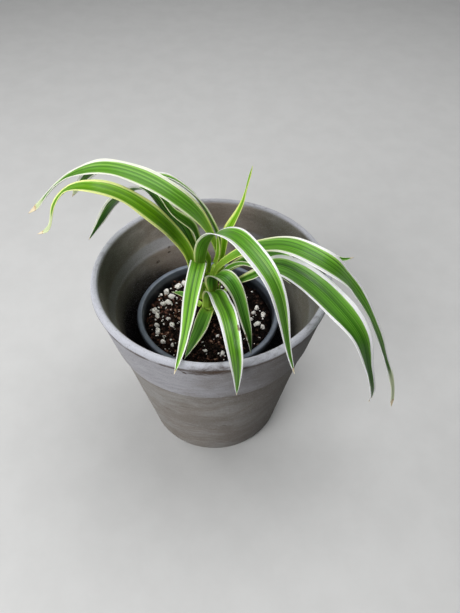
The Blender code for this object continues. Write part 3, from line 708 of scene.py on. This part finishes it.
def clay_finish(look):
    """Fired clay under a grey wash: brush marks, warm patches and brown marks, with painted shade
    inside, on the right and below the lip, a painted highlight on the inner ledge and a painted
    leaf-tip shadow.
    """
    wires, place = new_finish("clay_wash", Specular_IOR_Level=0.1, Diffuse_Roughness=0.6)
    across, height = place.x, place.z
    inside = wires.attribute("inside").smooth(0.2, 0.8)
    outside = 1.0 - inside
    # The brush was drawn round the pot, a little aslant and not steadily.
    drift = place.noise(24.0) - 0.5
    aslant = place.turned(0.10) + wires.join(0.0, 0.0, drift * 0.03)
    brush = (aslant * (70, 70, 420)).noise(1.0, 5.0, 0.7)
    band = (aslant * (15, 15, 62)).noise(1.0, 5.0, 0.62)
    cloud = (place * (20, 20, 34)).noise(1.0, 5.0, 0.62)
    patchy = cloud - 0.5
    speck = place.noise(1500.0)
    grit = place.noise(420.0, 3.0, 0.6)

    wash = wires.tone(brush.smooth(0.24, 0.76), look.wash_dark, look.wash_light)
    wash = wash.into(look.wash_warm, cloud.smooth(0.46, 0.66) * 0.6)
    wash = wash.into(look.wash_light, band.smooth(0.5, 0.7) * 0.4)
    body = wires.tone(band.smooth(0.38, 0.62), look.body_warm, look.body_cool)
    body = body.into(look.body_light, brush.smooth(0.44, 0.64) * 0.45)
    body = body.into(look.body_warm, cloud.smooth(0.5, 0.64) * 0.7)
    outer = body.into(wash, height.smooth(0.1030, 0.1050))
    # Painted shade: the outside is painted darker and browner towards the right.
    thin = (across + patchy * 0.06).smooth(-0.034, 0.052)
    outer = outer.into(look.worn, thin * 0.74)

    inner = wires.tone(band.smooth(0.3, 0.7), look.inside_dark, look.inside_light)
    inner = inner.into(look.inside_warm, cloud.smooth(0.42, 0.6) * 0.6)
    # A painted highlight runs along the inner ledge.
    ledge_highlight = height.smooth(0.1175, 0.1200) * height.smooth(0.1295, 0.1262)
    inner = inner.into(look.wash_light, ledge_highlight * 0.75)
    # The inner walls are painted olive and darker to each side, partly their tint and partly
    # painted shade, and near black down between the two pots and towards the left, as painted
    # shade.
    sides = abs(across + 0.008) + patchy * 0.03
    inner = inner.into(look.inside_olive, sides.smooth(0.030, 0.062) * 0.75)
    painted_shade_depth = height + patchy * 0.035 + across * 0.20
    inner = inner.into(look.inside_deep, painted_shade_depth.smooth(0.113, 0.082))
    color = outer.into(inner, inside)
    # The top of the lip is painted lighter in broken streaks, less so towards the back.
    lip = height.smooth(0.1450, 0.1480) * brush.smooth(0.16, 0.50) * outside
    lip = lip * place.y.span(0.0, 0.05, 1.0, 0.7)
    color = color.into(look.lip, lip * 0.85)

    ragged = (brush - 0.5) * 1.6
    for centre, size, slant, strength in CLAY_MARKS:
        away = place - centre
        if slant:
            away = away.turned(slant)
        reach = wires.math("LENGTH", away / size) + ragged
        color = color.into(look.smudge, reach.smooth(1.0, 0.3) * strength)
    color = color.into(look.wash_light, speck.smooth(0.54, 0.70) * 0.3)
    color = color.into(look.smudge, speck.smooth(0.44, 0.30) * 0.3)
    color = color.into(look.smudge, grit.smooth(0.34, 0.24) * 0.5)
    # Painted shade: a broken dark brown line runs below the edge of the lip.
    under_lip_shade = height.smooth(0.1434, 0.1450) * height.smooth(0.1474, 0.1462) * outside
    broken = (place * (60, 60, 20)).noise(1.0, 4.0, 0.65)
    color = color.into(look.smudge, under_lip_shade * broken.span(0.42, 0.58, 0.15, 0.8))
    relief = brush * 0.8 + (grit * 0.6 + speck * 0.3)
    return finished(wires, color, brush.span(0.3, 0.7, 0.78, 0.95), relief, 0.0003, 0.8)


def plastic_finish(look):
    """Thin black moulded plastic, scuffed grey and a little dusty, with a painted blue-grey sheen
    along its top edge.
    """
    wires, place = new_finish("nursery_plastic", Specular_IOR_Level=0.5)
    scuff = (place * (40, 40, 400)).noise(1.0, 4.0, 0.6)
    dust = place.noise(160.0, 4.0, 0.6)
    color = wires.tone(scuff.smooth(0.4, 0.7), look.black, look.scuffed)
    # The top edge is painted blue-grey, broken by the dust noise: a painted sheen.
    rim = place.z.smooth(0.1065, 0.1095) * dust.span(0.3, 0.7, 0.6, 1.0)
    flat = wires.math("LENGTH", (place - NURSERY_CENTRE) * (1.0, 1.0, 0.0))
    ridge = flat.smooth(0.0516, 0.0503) * flat.smooth(0.0476, 0.0486)
    color = color.into(look.rim, rim * ridge.span(0.0, 1.0, 0.4, 1.0))
    color = color.into(look.dust, dust.smooth(0.55, 0.72) * 0.3)
    return finished(wires, color, scuff.span(0.3, 0.7, 0.34, 0.55), place.noise(900.0, 3.0),
                    0.0001, 0.5)


def soil_right_shade(place):
    """How dark the soil is painted on the right of the crown: painted shade."""
    ragged = (place.noise(90.0, 3.0) - 0.5) * 0.03
    return (place.x + ragged).smooth(0.006, 0.022) * 0.8


def soil_finish(look):
    """Damp peaty soil: near black between reddish-brown crumbs."""
    wires, place = new_finish("peaty_soil", Specular_IOR_Level=0.04)
    crumb = place.noise(620.0, 4.0, 0.6)
    color = wires.tone(crumb.smooth(0.48, 0.66), look.dark, look.brown)
    color = color.into(look.red_brown, place.noise(230.0, 3.0).smooth(0.58, 0.7) * 0.6)
    color = color.into(look.dark, soil_right_shade(place))
    return finished(wires, color, crumb.span(0.3, 0.7, 0.95, 0.8), crumb, 0.0012, 1.0)


def crumb_finish(look):
    """Soil crumbs and bits of bark, each of its own brown, a few of them pale."""
    wires, place = new_finish("soil_crumbs", Specular_IOR_Level=0.08)
    own = place.noise(330.0, 1.0)
    fibre = (place * (900, 2600, 1400)).noise(1.0, 3.0)
    color = wires.tone(own.smooth(0.46, 0.56), look.dark, look.brown)
    color = color.into(look.red_brown, own.smooth(0.58, 0.64))
    color = color.into(look.light_brown, own.smooth(0.68, 0.71))
    color = color.into(look.light_brown, fibre.smooth(0.54, 0.7) * 0.25)
    color = color.into(look.dark, soil_right_shade(place))
    return finished(wires, color, 0.85, fibre, 0.0005, 0.9)


def perlite_finish(look):
    """Chalky white puffed grains with soil caught in the hollows."""
    wires, place = new_finish("perlite", Specular_IOR_Level=0.25)
    pores = place.noise(1100.0, 3.0, 0.6)
    color = wires.tone(pores.smooth(0.34, 0.48), look.perlite_shade, look.perlite)
    color = color.into(look.red_brown, place.noise(520.0, 3.0).smooth(0.60, 0.66) * 0.7)
    return finished(wires, color, 0.92, pores, 0.0006, 0.35)


def leaf_finish(look, underside):
    """Leaf green in lengthwise bands between pale margins, from the stored attributes."""
    wires, place = new_finish(
        "leaf_underside" if underside else "leaf_upper", Specular_IOR_Level=0.02,
        Subsurface_Radius=(0.95, 1.0, 0.85), Subsurface_Scale=0.001)
    stored = SimpleNamespace(**{name: wires.attribute(name) for name in (
        "across", "along", "reach", "half", "seed", "pale_low", "pale_high", *LEAF_LOOKS)})
    across, along = stored.across, stored.along
    from_rib = abs(across)
    # Streaks keep their width in millimetres across and run far along the blade.
    wide = across * (stored.half / 0.007)

    def streaks(fine, run, shift):
        """Lengthwise noise: fine is cycles per half blade, run is cycles per metre."""
        return wires.join(wide * fine, stored.reach * run, stored.seed + shift).noise()
    broad = streaks(2.2, 5.0, 0.0)
    medium = streaks(6.2, 4.0, 11.0)
    fine = streaks(12.0, 9.0, 23.0)
    share = wires.blend(across.smooth(-0.02, 0.02), stored.pale_low, stored.pale_high)
    share = share * wires.blend(along.smooth(0.03, 0.3), 0.75, 1.0)
    share = share + (streaks(1.2, 22.0, 37.0) - 0.5) * 0.10
    depth = from_rib + share + (fine - 0.5) * 0.12
    pale = depth.smooth(0.98, 1.03)
    # A light line of green runs just inside each margin, broken by the streaks.
    halo = depth.smooth(0.76, 0.99) * medium.span(0.35, 0.65, 0.1, 0.75)

    light = medium.span(0.38, 0.62, 0.0, 0.66) + fine.smooth(0.42, 0.58) * 0.3
    light = light + from_rib.smooth(0.07, 0.02) * 0.10
    light = light + from_rib.smooth(0.1, 0.75) * 0.22
    light = wires.math("ADD", light, broad.smooth(0.40, 0.64) * 0.15, clamp=True)
    # Painted shade darkens the green towards the end of the drooping blades.
    deep = stored.deep * along.smooth(0.45, 0.85)
    # A band of painted shade lies along one side of the midrib, as on the shaded half of a folded
    # blade.
    on_side = wires.math("SIGN", stored.band) * across
    fold_shade = on_side.smooth(0.0, 0.14) * on_side.smooth(0.62, 0.34) * abs(stored.band)
    fold_shade = fold_shade * along.smooth(0.15, 0.5)
    light = light * (1.0 - deep) * (1.0 - fold_shade)
    halo = halo * (1.0 - deep)
    cool = wires.tone(light, look.green_deep, look.green_light)
    green = cool.into(wires.tone(light, look.lime_deep, look.lime_light), stored.tone)
    # A few thin streaks are nearly as light as the margins.
    thin = streaks(7.0, 6.0, 51.0).smooth(0.58, 0.66) * from_rib.smooth(0.0, 0.5)
    green = green.into(look.halo, thin * 0.45).into(look.halo, halo)
    margin = wires.tone(stored.cream, look.margin_white, look.margin_cream)
    margin = margin.into(look.margin_cream, along.smooth(0.40, 0.12) * 0.9)
    margin = margin.into(look.halo, fine.smooth(0.50, 0.66) * 0.2)
    color = green.into(margin, pale)
    # The margins let light through; where painted shade darkens the end of a blade, it shines
    # less.
    surface = wires.shader.inputs
    wires.feed(wires.shader, surface["Subsurface Weight"], wires.blend(pale, 0.05, 0.8))
    if not underside:
        wires.feed(wires.shader, surface["Specular IOR Level"], deep.span(0.0, 1.0, 0.34, 0.0))
    # Towards a fading tip the green goes pale before it dries.
    from_tip = 1.0 - along
    fading = (from_tip + (medium - 0.5) * 0.08) / wires.math("MAXIMUM", stored.fade, 0.001)
    color = color.into(look.faded, fading.smooth(1.1, 0.7) * 0.8)
    # The pale foot is the base's own colour; on lower blades in shade, such as long_left_lower,
    # it reaches farther up as painted light.
    low = along / stored.foot + (medium - 0.5) * 0.7
    color = color.into(look.foot_pale, low.smooth(1.5, 0.1) * 0.8)
    dry = (from_tip + (fine - 0.5) * 0.02) / wires.math("MAXIMUM", stored.dry, 0.0005)
    color = color.into(look.dry_edge, dry.smooth(1.15, 0.95))
    color = color.into(look.dry, dry.smooth(1.0, 0.8))
    for spot, size in LEAF_NICKS:
        gap = wires.math("DISTANCE", place, spot) + (fine - 0.5) * 0.003
        color = color.into(look.nick, gap.smooth(size, 0.4 * size) * 0.85)
    if underside:
        color = color.into(look.underside, (1.0 - pale) * 0.35)
    relief = wires.math("SINE", wide * 52.0) * 0.25 + (fine + medium * 0.8)
    rough = 0.5 if underside else fine.span(0.3, 0.7, 0.28, 0.40)
    return finished(wires, color, rough, relief, 0.00018, 0.6)


def sheath_finish(look):
    """Pale yellow-green sheaths with fine upright veins."""
    wires, place = new_finish(
        "leaf_sheath", Specular_IOR_Level=0.4, Subsurface_Weight=0.4,
        Subsurface_Radius=(0.8, 1.0, 0.3), Subsurface_Scale=0.002)
    vein = (place * (1300, 1300, 40)).noise(1.0, 3.0)
    color = wires.tone(vein.smooth(0.38, 0.62), look.sheath_pale, look.sheath_lime)
    color = color.into(look.sheath_low, place.z.smooth(0.112, 0.104))
    return finished(wires, color, 0.45, vein, 0.0002, 0.6)


def floor_finish(look):
    """Pale matt floor, very slightly mottled."""
    wires, place = new_finish("studio_floor", Specular_IOR_Level=0.2)
    mottle = place.noise(30.0, 5.0, 0.6).smooth(0.3, 0.7)
    color = wires.tone(mottle, look.floor, look.floor_mottle)
    return finished(wires, color, 0.85, place.noise(400.0), 0.0001, 0.3)


def spline(points, count):
    """Even steps along a natural cubic curve through the points, and its length."""
    knots = np.asarray(points, float)
    size = len(knots)
    param = np.concatenate([[0], np.cumsum(np.linalg.norm(np.diff(knots, axis=0), axis=1))])
    gap = np.diff(param)
    system = np.eye(size)
    right = np.zeros_like(knots)
    for i in range(1, size - 1):
        system[i, i - 1:i + 2] = gap[i - 1], 2 * (gap[i - 1] + gap[i]), gap[i]
        right[i] = 6 * ((knots[i + 1] - knots[i]) / gap[i]
                        - (knots[i] - knots[i - 1]) / gap[i - 1])
    bend = np.linalg.solve(system, right)
    fine = np.linspace(0, param[-1], 12 * count)
    j = np.clip(np.searchsorted(param, fine, side="right") - 1, 0, size - 2)
    after = (fine - param[j])[:, None]
    before = (param[j + 1] - fine)[:, None]
    width = gap[j][:, None]
    curve = ((bend[j] * before ** 3 + bend[j + 1] * after ** 3) / (6 * width)
             + (knots[j] / width - bend[j] * width / 6) * before
             + (knots[j + 1] / width - bend[j + 1] * width / 6) * after)
    length = np.concatenate([[0], np.cumsum(np.linalg.norm(np.diff(curve, axis=0), axis=1))])
    even = np.linspace(0, length[-1], count)
    return np.stack([np.interp(even, length, curve[:, k]) for k in range(3)], -1), length[-1]


def blade_frames(line, roll):
    """Side and upper directions carried along a leaf's centre line."""
    ahead = np.gradient(line, axis=0)
    ahead /= np.linalg.norm(ahead, axis=1)[:, None]
    chord = line[-1] - line[0]
    side = np.array([-chord[1], chord[0], 0.0])
    sides = []
    for step in ahead:
        side = side - step * (side @ step)
        side = side / np.linalg.norm(side)
        sides.append(side)
    sides = np.array(sides)
    upper = np.cross(ahead, sides)
    share = np.linspace(0, 1, len(line))
    angle = np.radians(np.interp(share, (0, 0.5, 0.8, 1), roll))[:, None]
    return (sides * np.cos(angle) + upper * np.sin(angle),
            upper * np.cos(angle) - sides * np.sin(angle))


def eased(value):
    """0 below 0, 1 above 1, smooth between."""
    value = np.clip(value, 0, 1)
    return value * value * (3 - 2 * value)


def half_width(t, length, leaf):
    """Half the leaf's width in mm, from its base at 0 to its pointed tip at 1."""
    base, width, peak, point = leaf["shape"]
    fall = np.clip((t - peak) / (1 - peak), 0, 1)
    body = (base + (width - base) * eased(t / peak)) * (1 - fall ** point)
    body = np.sqrt(body ** 2 + (leaf["tip"] * np.clip(fall * 2, 0, 1)) ** 2)
    sharp = np.clip((1 - t) * length / (3.0 + 1.6 * leaf["tip"]), 0, 1) ** 0.75
    return 0.5 * np.maximum(body * sharp, 0.16)


def leaf_stations(name, leaf, step):
    """The stations of one blade as a chain of points, in metres."""
    rough = sum(math.dist(a, b) for a, b in zip(leaf["route"], leaf["route"][1:]))
    count = int(max(24, rough / step))
    line, length = spline(leaf["route"], count)
    side, upper = blade_frames(line, leaf["roll"])
    t = np.linspace(0, 1, count)
    fold = np.radians(BASE_FOLD + (BLADE_FOLD - BASE_FOLD) * eased(t / 0.3))
    low, high = (np.interp(t, (0.25, 0.55, 0.85), leaf[key]) for key in ("low", "high"))
    return line_mesh(name + "_stations", line * MM, side=side, upper=upper,
                     half=half_width(t, length, leaf) * MM, fold=fold,
                     reach=t * length * MM, low=low, high=high)


def with_colours(**colours):
    """Give a group of settings its colours; the numbers are as seen on screen."""
    def add(group):
        for key, screen in colours.items():
            group.__annotations__[key] = FloatVectorProperty(
                name=key.replace("_", " ").capitalize(), description="Colour in linear light",
                size=3, subtype="COLOR", min=0.0, max=1.0, default=tint(*screen))
        return group
    return add


def distance(label, text, millimetres, low=0.0, high=1000.0):
    """A length that the sidebar shows, from millimetres."""
    return FloatProperty(name=label, description=text, default=millimetres * MM, unit="LENGTH",
                         min=low * MM, max=high * MM, precision=5)


def number(label, text, default, low, high):
    """A whole number that the sidebar shows."""
    return IntProperty(name=label, description=text, default=default, min=low, max=high)


def power(label, text, default, unit="POWER"):
    """A light's power or strength that the sidebar shows."""
    return FloatProperty(name=label, description=text, default=default, min=0.0, unit=unit)


@with_colours(
    wash_light=(166, 166, 171), wash_dark=(142, 141, 145), wash_warm=(132, 126, 123),
    lip=(200, 202, 210), body_light=(156, 154, 151), body_cool=(136, 134, 131),
    body_warm=(122, 115, 108), inside_light=(188, 181, 174), inside_dark=(124, 117, 109),
    inside_warm=(134, 119, 106), inside_olive=(86, 88, 77), inside_deep=(4, 3, 3),
    worn=(86, 82, 78), smudge=(74, 62, 54))
class PlantClay(bpy.types.PropertyGroup):
    """Sizes and colours of the clay pot"""
    steps: number("Steps round", "Faces round the pot", 280, 64, 400)
    unevenness: distance("Unevenness", "How far the hand-turned wall wanders", 0.5)
    lathe_depth: distance("Lathe depth", "Depth of the turning marks", 0.06)


@with_colours(black=(15, 17, 20), scuffed=(34, 38, 45), rim=(118, 128, 143), dust=(80, 78, 76))
class PlantNursery(bpy.types.PropertyGroup):
    """Sizes and colours of the nursery pot"""
    steps: number("Steps round", "Faces round the pot", 220, 64, 400)
    unevenness: distance("Unevenness", "How far the soft wall wanders", 0.5)


@with_colours(
    dark=(9, 6, 5), brown=(34, 22, 19), red_brown=(96, 62, 50), light_brown=(176, 144, 124),
    perlite=(255, 252, 246), perlite_shade=(252, 248, 242))
class PlantSoil(bpy.types.PropertyGroup):
    """Sizes and colours of the soil, perlite and crumbs"""
    crumbs: number("Crumbs", "How many crumbs lie on the soil", 1900, 0, 2300)
    small_perlite: number("Small perlite", "How many small white grains", 90, 0, 400)
    chips: number("Bark chips", "How many chips of bark", 150, 0, 400)
    crumb_size: distance("Crumb size", "Radius of a middling crumb", 1.05)
    seed: number("Seed", "Seed of every scatter", 7, 0, 100000)


@with_colours(
    green_deep=(14, 60, 8), green_light=(94, 162, 56), lime_deep=(62, 118, 0),
    lime_light=(138, 192, 14), halo=(166, 210, 104), margin_white=(252, 255, 255),
    margin_cream=(224, 236, 128), foot_pale=(178, 214, 76), faded=(216, 226, 184),
    underside=(118, 164, 46), dry=(232, 216, 184), nick=(104, 70, 46),
    dry_edge=(190, 158, 116), sheath_pale=(204, 232, 120), sheath_lime=(160, 206, 50),
    sheath_low=(160, 190, 72))
class PlantLeaf(bpy.types.PropertyGroup):
    """Sizes and colours of the leaves and the crown"""
    thickness: distance("Thickness", "Thickness of a blade", 0.45)
    station_step: distance("Station step", "Distance between rows of points", 1.5, 0.5, 9)
    points_across: number("Points across", "Points across a blade", 25, 5, 61)
    midrib: distance("Midrib depth", "Depth of the channel along the middle", 0.14)
    edge_wave: distance("Edge wave", "How far the margins wave", 0.45)
    wave_length: distance("Wave length", "Length of one wave of the margin", 34.0)


@with_colours(floor=(204, 204, 203), floor_mottle=(200, 200, 199))
class PlantStage(bpy.types.PropertyGroup):
    """The floor and lights"""
    key_light: power("Key light", "Power of the key light", 9.8)
    top_light: power("Top light", "Power of the light overhead", 8.0)
    back_light: power("Back light", "Power of the light behind, left", 2.6)
    sky: power("Sky", "Strength of the even light all round", 0.07, "NONE")


class PlantOperator(bpy.types.Operator):
    """What every operator here shares"""
    bl_options = {"REGISTER", "UNDO"}


class PLANT_OT_stage(PlantOperator):
    """Make the camera, the soft lights and the pale floor"""
    bl_idname = "plant.stage"
    bl_label = "Stage"

    def execute(self, context):
        look = context.scene.plant_stage
        pitch, yaw, roll = (math.radians(v) for v in (CAMERA_PITCH, CAMERA_YAW, CAMERA_ROLL))
        ahead = Vector((math.sin(yaw) * math.cos(pitch), math.cos(yaw) * math.cos(pitch),
                        math.sin(pitch)))
        right = Vector((math.cos(yaw), -math.sin(yaw), 0.0))
        up = right.cross(ahead)
        right, up = (right * math.cos(roll) + up * math.sin(roll),
                     up * math.cos(roll) - right * math.sin(roll))
        eye = linked("camera", bpy.data.cameras.new("camera"))
        eye.data.sensor_width = SENSOR
        eye.data.lens = SENSOR * FOCAL_PIXELS / PHOTO_HEIGHT
        eye.data.clip_start = 0.01
        eye.matrix_world = Matrix((*zip(right, up, -ahead, CAMERA_AT), (0, 0, 0, 1)))
        context.scene.camera = eye
        context.scene.view_settings.view_transform = "Standard"
        for name, place, size in LIGHTS:
            lamp = bpy.data.lights.new(name, "AREA")
            lamp.size = size
            lamp.energy = getattr(look, name)
            made = linked(name, lamp)
            made.location = place
            aim = Vector(LIGHTS_AIM) - made.location
            made.rotation_euler = aim.to_track_quat("-Z", "Y").to_euler()
        world = bpy.data.worlds.new("studio")
        world.use_nodes = True
        back = world.node_tree.nodes["Background"]
        back.inputs["Color"].default_value = SKY_COLOR
        back.inputs["Strength"].default_value = look.sky
        context.scene.world = world
        corners = ((-1, -1), (1, -1), (1, 1), (-1, 1))
        mesh = new_mesh("floor", [(x * FLOOR_REACH, y * FLOOR_REACH, 0) for x, y in corners],
                        faces=[(0, 1, 2, 3)])
        mesh.materials.append(floor_finish(look))
        linked("floor", mesh)
        return {"FINISHED"}


class PLANT_OT_clay_pot(PlantOperator):
    """Make the clay pot"""
    bl_idname = "plant.clay_pot"
    bl_label = "Clay pot"

    def execute(self, context):
        look = context.scene.plant_clay
        pot = turned_piece(
            "clay_pot_fired", fine_profile(CLAY_PROFILE, step=1.15, close_step=0.5),
            clay_finish(look),
            steps=look.steps, unevenness=look.unevenness, uneven_size=0.045,
            lathe_depth=look.lathe_depth, lathe_pitch=0.0035, grain_depth=0.00012,
            grain_size=0.0022, pit_place=CLAY_PIT, pit_radius=0.0022)
        placed(pot, "clay", "clay_pot")
        return {"FINISHED"}


class PLANT_OT_nursery_pot(PlantOperator):
    """Make the thin black nursery pot"""
    bl_idname = "plant.nursery_pot"
    bl_label = "Nursery pot"

    def execute(self, context):
        look = context.scene.plant_nursery
        pot = turned_piece(
            "nursery_pot_moulded", fine_profile(NURSERY_PROFILE, step=2.0, close_step=0.35),
            plastic_finish(look), steps=look.steps, centre=NURSERY_CENTRE,
            unevenness=look.unevenness, uneven_size=0.03)
        turns = np.arange(0.5, DRAIN_COUNT) * math.tau / DRAIN_COUNT
        drilled(pot, [(NURSERY_AT[0] + DRAIN_RING_R * math.cos(turn),
                       NURSERY_AT[1] + DRAIN_RING_R * math.sin(turn)) for turn in turns],
                radius=DRAIN_R, low=NURSERY_FOOT_Z - 2.0, high=NURSERY_FOOT_Z + 4.0)
        placed(pot, "black_plastic", "nursery_pot")
        return {"FINISHED"}


class PLANT_OT_soil(PlantOperator):
    """Make the soil with its crumbs and perlite"""
    bl_idname = "plant.soil"
    bl_label = "Soil"

    def execute(self, context):
        look = context.scene.plant_soil
        top = fine_profile(SOIL_PROFILE[:SOIL_EDGE + 1], step=0.7, close_step=0.7)
        side = fine_profile(SOIL_PROFILE[SOIL_EDGE:], step=4.0, close_step=1.5)
        rows = np.concatenate([top, side[1:]])
        bed = turned_piece(
            "soil_bed", rows, soil_finish(look), steps=240, centre=NURSERY_CENTRE,
            unevenness=0.0012, uneven_size=0.011, grain_depth=0.0016, grain_size=0.0030)
        placed(bed, "potting_soil", "soil")
        draw = np.random.default_rng(look.seed)
        crumbs = self.scatter(draw, look.crumbs, look.crumb_size, spread=0.5, above=0.1)
        chips = self.scatter(draw, look.chips, 0.0019, spread=0.35, above=0.5)
        large = np.array([(x, y, SOIL_Z + 0.45 * r, 0.88 * r) for x, y, r in PERLITE]) * MM
        small = np.concatenate([self.broken(draw), self.scatter(
            draw, look.small_perlite, 0.00062, spread=0.5, above=0.8, left=0.7)])
        brown, white = crumb_finish(look), perlite_finish(look)
        tree = grain_tree()
        # Each kind: its points, finish, fineness, stretch, tilt and ruggedness.
        kinds = {"soil_crumbs": (crumbs, brown, 2, (1.5, 0.9, 0.7), 0.7, 0.7),
                 "bark_chips": (chips, brown, 2, (1.6, 0.7, 0.45), 0.5, 0.5),
                 "perlite_grains": (large, white, 3, (1.1, 1.0, 0.8), 3.1, 1.45),
                 "perlite_crumbs": (small, white, 2, (1.1, 1.0, 0.8), 3.1, 1.4)}
        for seed, (name, kind) in enumerate(kinds.items(), look.seed):
            points, finish, fineness, stretch, tilt, ruggedness = kind
            mesh = line_mesh(name + "_points", points[:, :3], size=points[:, 3])
            placed(grow(name, mesh, tree, (finish,), fineness=fineness, stretch=stretch,
                        tilt=tilt, ruggedness=ruggedness, lump_size=0.9, seed=seed),
                   "potting_soil")
        return {"FINISHED"}

    def broken(self, draw):
        """Small pieces lying round the large white grains."""
        points = []
        for x, y, r in PERLITE:
            for _ in range(draw.integers(1, 4)):
                turn, far = draw.uniform(0, math.tau), r * draw.uniform(1.1, 2.8)
                own = r * draw.uniform(0.16, 0.38)
                spot = (x + far * math.cos(turn), y + far * math.sin(turn))
                if math.dist(spot, NURSERY_AT) < BROKEN_REACH:
                    points.append((*spot, SOIL_Z + 0.7, own))
        return np.array(points) * MM

    def scatter(self, draw, count, size, spread, above, left=0.0):
        """Points over the soil, clear of the crown: x, y, z and size in metres.

        above is how high they lie; left is the share that is kept only in the left heap.
        """
        points = []
        while len(points) < count:
            reach = GRAIN_REACH * math.sqrt(draw.random())
            angle = draw.uniform(0, math.tau)
            x = NURSERY_AT[0] + reach * math.cos(angle)
            y = NURSERY_AT[1] + reach * math.sin(angle)
            drop = GRAIN_DROP * (reach / GRAIN_REACH) ** 3
            rise = draw.uniform(-0.7, 0.5)
            own = size * (1 + spread * draw.uniform(-1, 1.3))
            kept = draw.random() > left or x < LEFT_HEAP_X
            if kept and math.dist((x, y), CROWN_AT) > CROWN_CLEAR:
                points.append((x * MM, y * MM, (SOIL_Z + above - drop + rise) * MM, own))
        return np.array(points)


class PLANT_OT_crown(PlantOperator):
    """Make the crown of overlapping sheaths"""
    bl_idname = "plant.crown"
    bl_label = "Crown"
    # Heights over the soil in mm and the stem's radius there.
    stem = ((-13.5, -12.0, 4.5, 18.5, 34.5, 44.5, 46.1, 46.5),
            (3.6, 5.2, 5.2, 4.9, 4.2, 2.7, 1.6, 0.4))
    # Each sheath: where its middle points in degrees, its top in mm and how full it wraps.
    sheaths = ((200, 14, 0.9), (20, 18, 0.9), (110, 23, 0.85), (290, 27, 0.85),
               (160, 32, 0.8), (340, 36, 0.8), (70, 41, 0.75), (250, 44, 0.7))

    def execute(self, context):
        heights = np.linspace(CROWN_FOOT, CROWN_TOP, CROWN_RINGS)
        angles = np.linspace(0, math.tau, CROWN_SIDES, endpoint=False)
        verts = []
        for height, radius in zip(heights, np.interp(heights, *self.stem)):
            for angle in angles:
                layers = sum(self.cover(math.degrees(angle), height, *s) for s in self.sheaths)
                here = radius * (0.80 + 0.19 * min(layers, 4.0) / 4.0)
                verts.append((here * math.cos(angle), here * math.sin(angle), height))
        count = len(angles)
        top = (len(heights) - 1) * count
        pairs = [(j, (j + 1) % count) for j in range(count)]
        faces = [(i + j, i + k, i + count + k, i + count + j)
                 for i in range(0, top, count) for j, k in pairs]
        low, high = len(verts), len(verts) + 1
        verts += [(0, 0, heights[0]), (0, 0, heights[-1] + 0.3)]
        faces += [(low, k, j) for j, k in pairs]
        faces += [(high, top + j, top + k) for j, k in pairs]
        tilt = Euler([math.radians(v) for v in (*CROWN_TILT, 0.0)]).to_matrix()
        foot = Vector((*CROWN_AT, SOIL_Z))
        mesh = new_mesh("crown_sheaths", [((tilt @ Vector(v)) + foot) * MM for v in verts],
                        faces=faces)
        mesh.polygons.foreach_set("use_smooth", [True] * len(mesh.polygons))
        mesh.materials.append(sheath_finish(context.scene.plant_leaf))
        placed(linked("crown_sheaths", mesh), "crown_green", "crown")
        return {"FINISHED"}

    def cover(self, angle, height, centre, top, full):
        """1 where a sheath wraps the stem, 0 past its edge."""
        turn = abs((angle - centre + 180) % 360 - 180)
        opened = max(0.0, min(1.0, (top - height) / SHEATH_RISE)) ** 0.5
        inside = (SHEATH_REACH * full * opened - turn) / SHEATH_EDGE
        return max(0.0, min(1.0, inside)) if height < top else 0.0


class PLANT_OT_leaves(PlantOperator):
    """Make the seventeen leaves"""
    bl_idname = "plant.leaves"
    bl_label = "Leaves"

    def execute(self, context):
        look = context.scene.plant_leaf
        finishes = (leaf_finish(look, False), leaf_finish(look, True))
        tree = leaf_tree()
        for order, (name, leaf) in enumerate(LEAVES.items()):
            blade = grow(
                name + "_blade", leaf_stations(name, leaf, look.station_step / MM), tree,
                finishes, look.thickness, points_across=look.points_across, channel=1.6,
                midrib_depth=look.midrib, edge_wave=look.edge_wave,
                wave_length=look.wave_length, phase=1.7 * order, seed=3.1 * order,
                **{key: leaf.get(key, 0) for key in LEAF_LOOKS})
            placed(blade, "leaf_green", "leaf_" + name)
        return {"FINISHED"}


class PLANT_PT_sidebar(bpy.types.Panel):
    """The plant's sizes, colours and pieces"""
    bl_idname = "PLANT_PT_sidebar"
    bl_label = "Spider plant"
    bl_space_type = "VIEW_3D"
    bl_region_type = "UI"
    bl_category = "Spider plant"

    def draw(self, context):
        for operator in OPERATORS:
            self.layout.operator(operator.bl_idname)
        for name in GROUPS:
            box = self.layout.box()
            group = getattr(context.scene, name)
            box.label(text=group.bl_rna.description)
            for key in group.bl_rna.properties.keys():
                if key not in ("rna_type", "name"):
                    box.prop(group, key)


GROUPS = {"plant_stage": PlantStage, "plant_clay": PlantClay, "plant_nursery": PlantNursery,
          "plant_soil": PlantSoil, "plant_leaf": PlantLeaf}
OPERATORS = (PLANT_OT_stage, PLANT_OT_clay_pot, PLANT_OT_nursery_pot, PLANT_OT_soil,
             PLANT_OT_crown, PLANT_OT_leaves)


def register():
    """Make the classes and settings known to Blender."""
    for name, group in GROUPS.items():
        bpy.utils.register_class(group)
        setattr(bpy.types.Scene, name, PointerProperty(type=group))
    for item in (*OPERATORS, PLANT_PT_sidebar):
        bpy.utils.register_class(item)


def unregister():
    """Take them away again."""
    for item in (PLANT_PT_sidebar, *reversed(OPERATORS)):
        bpy.utils.unregister_class(item)
    for name, group in GROUPS.items():
        delattr(bpy.types.Scene, name)
        bpy.utils.unregister_class(group)


def main():
    """Build every piece in order."""
    register()
    bpy.ops.plant.stage()
    bpy.ops.plant.clay_pot()
    bpy.ops.plant.nursery_pot()
    bpy.ops.plant.soil()
    bpy.ops.plant.crown()
    bpy.ops.plant.leaves()


if __name__ == "__main__":
    main()
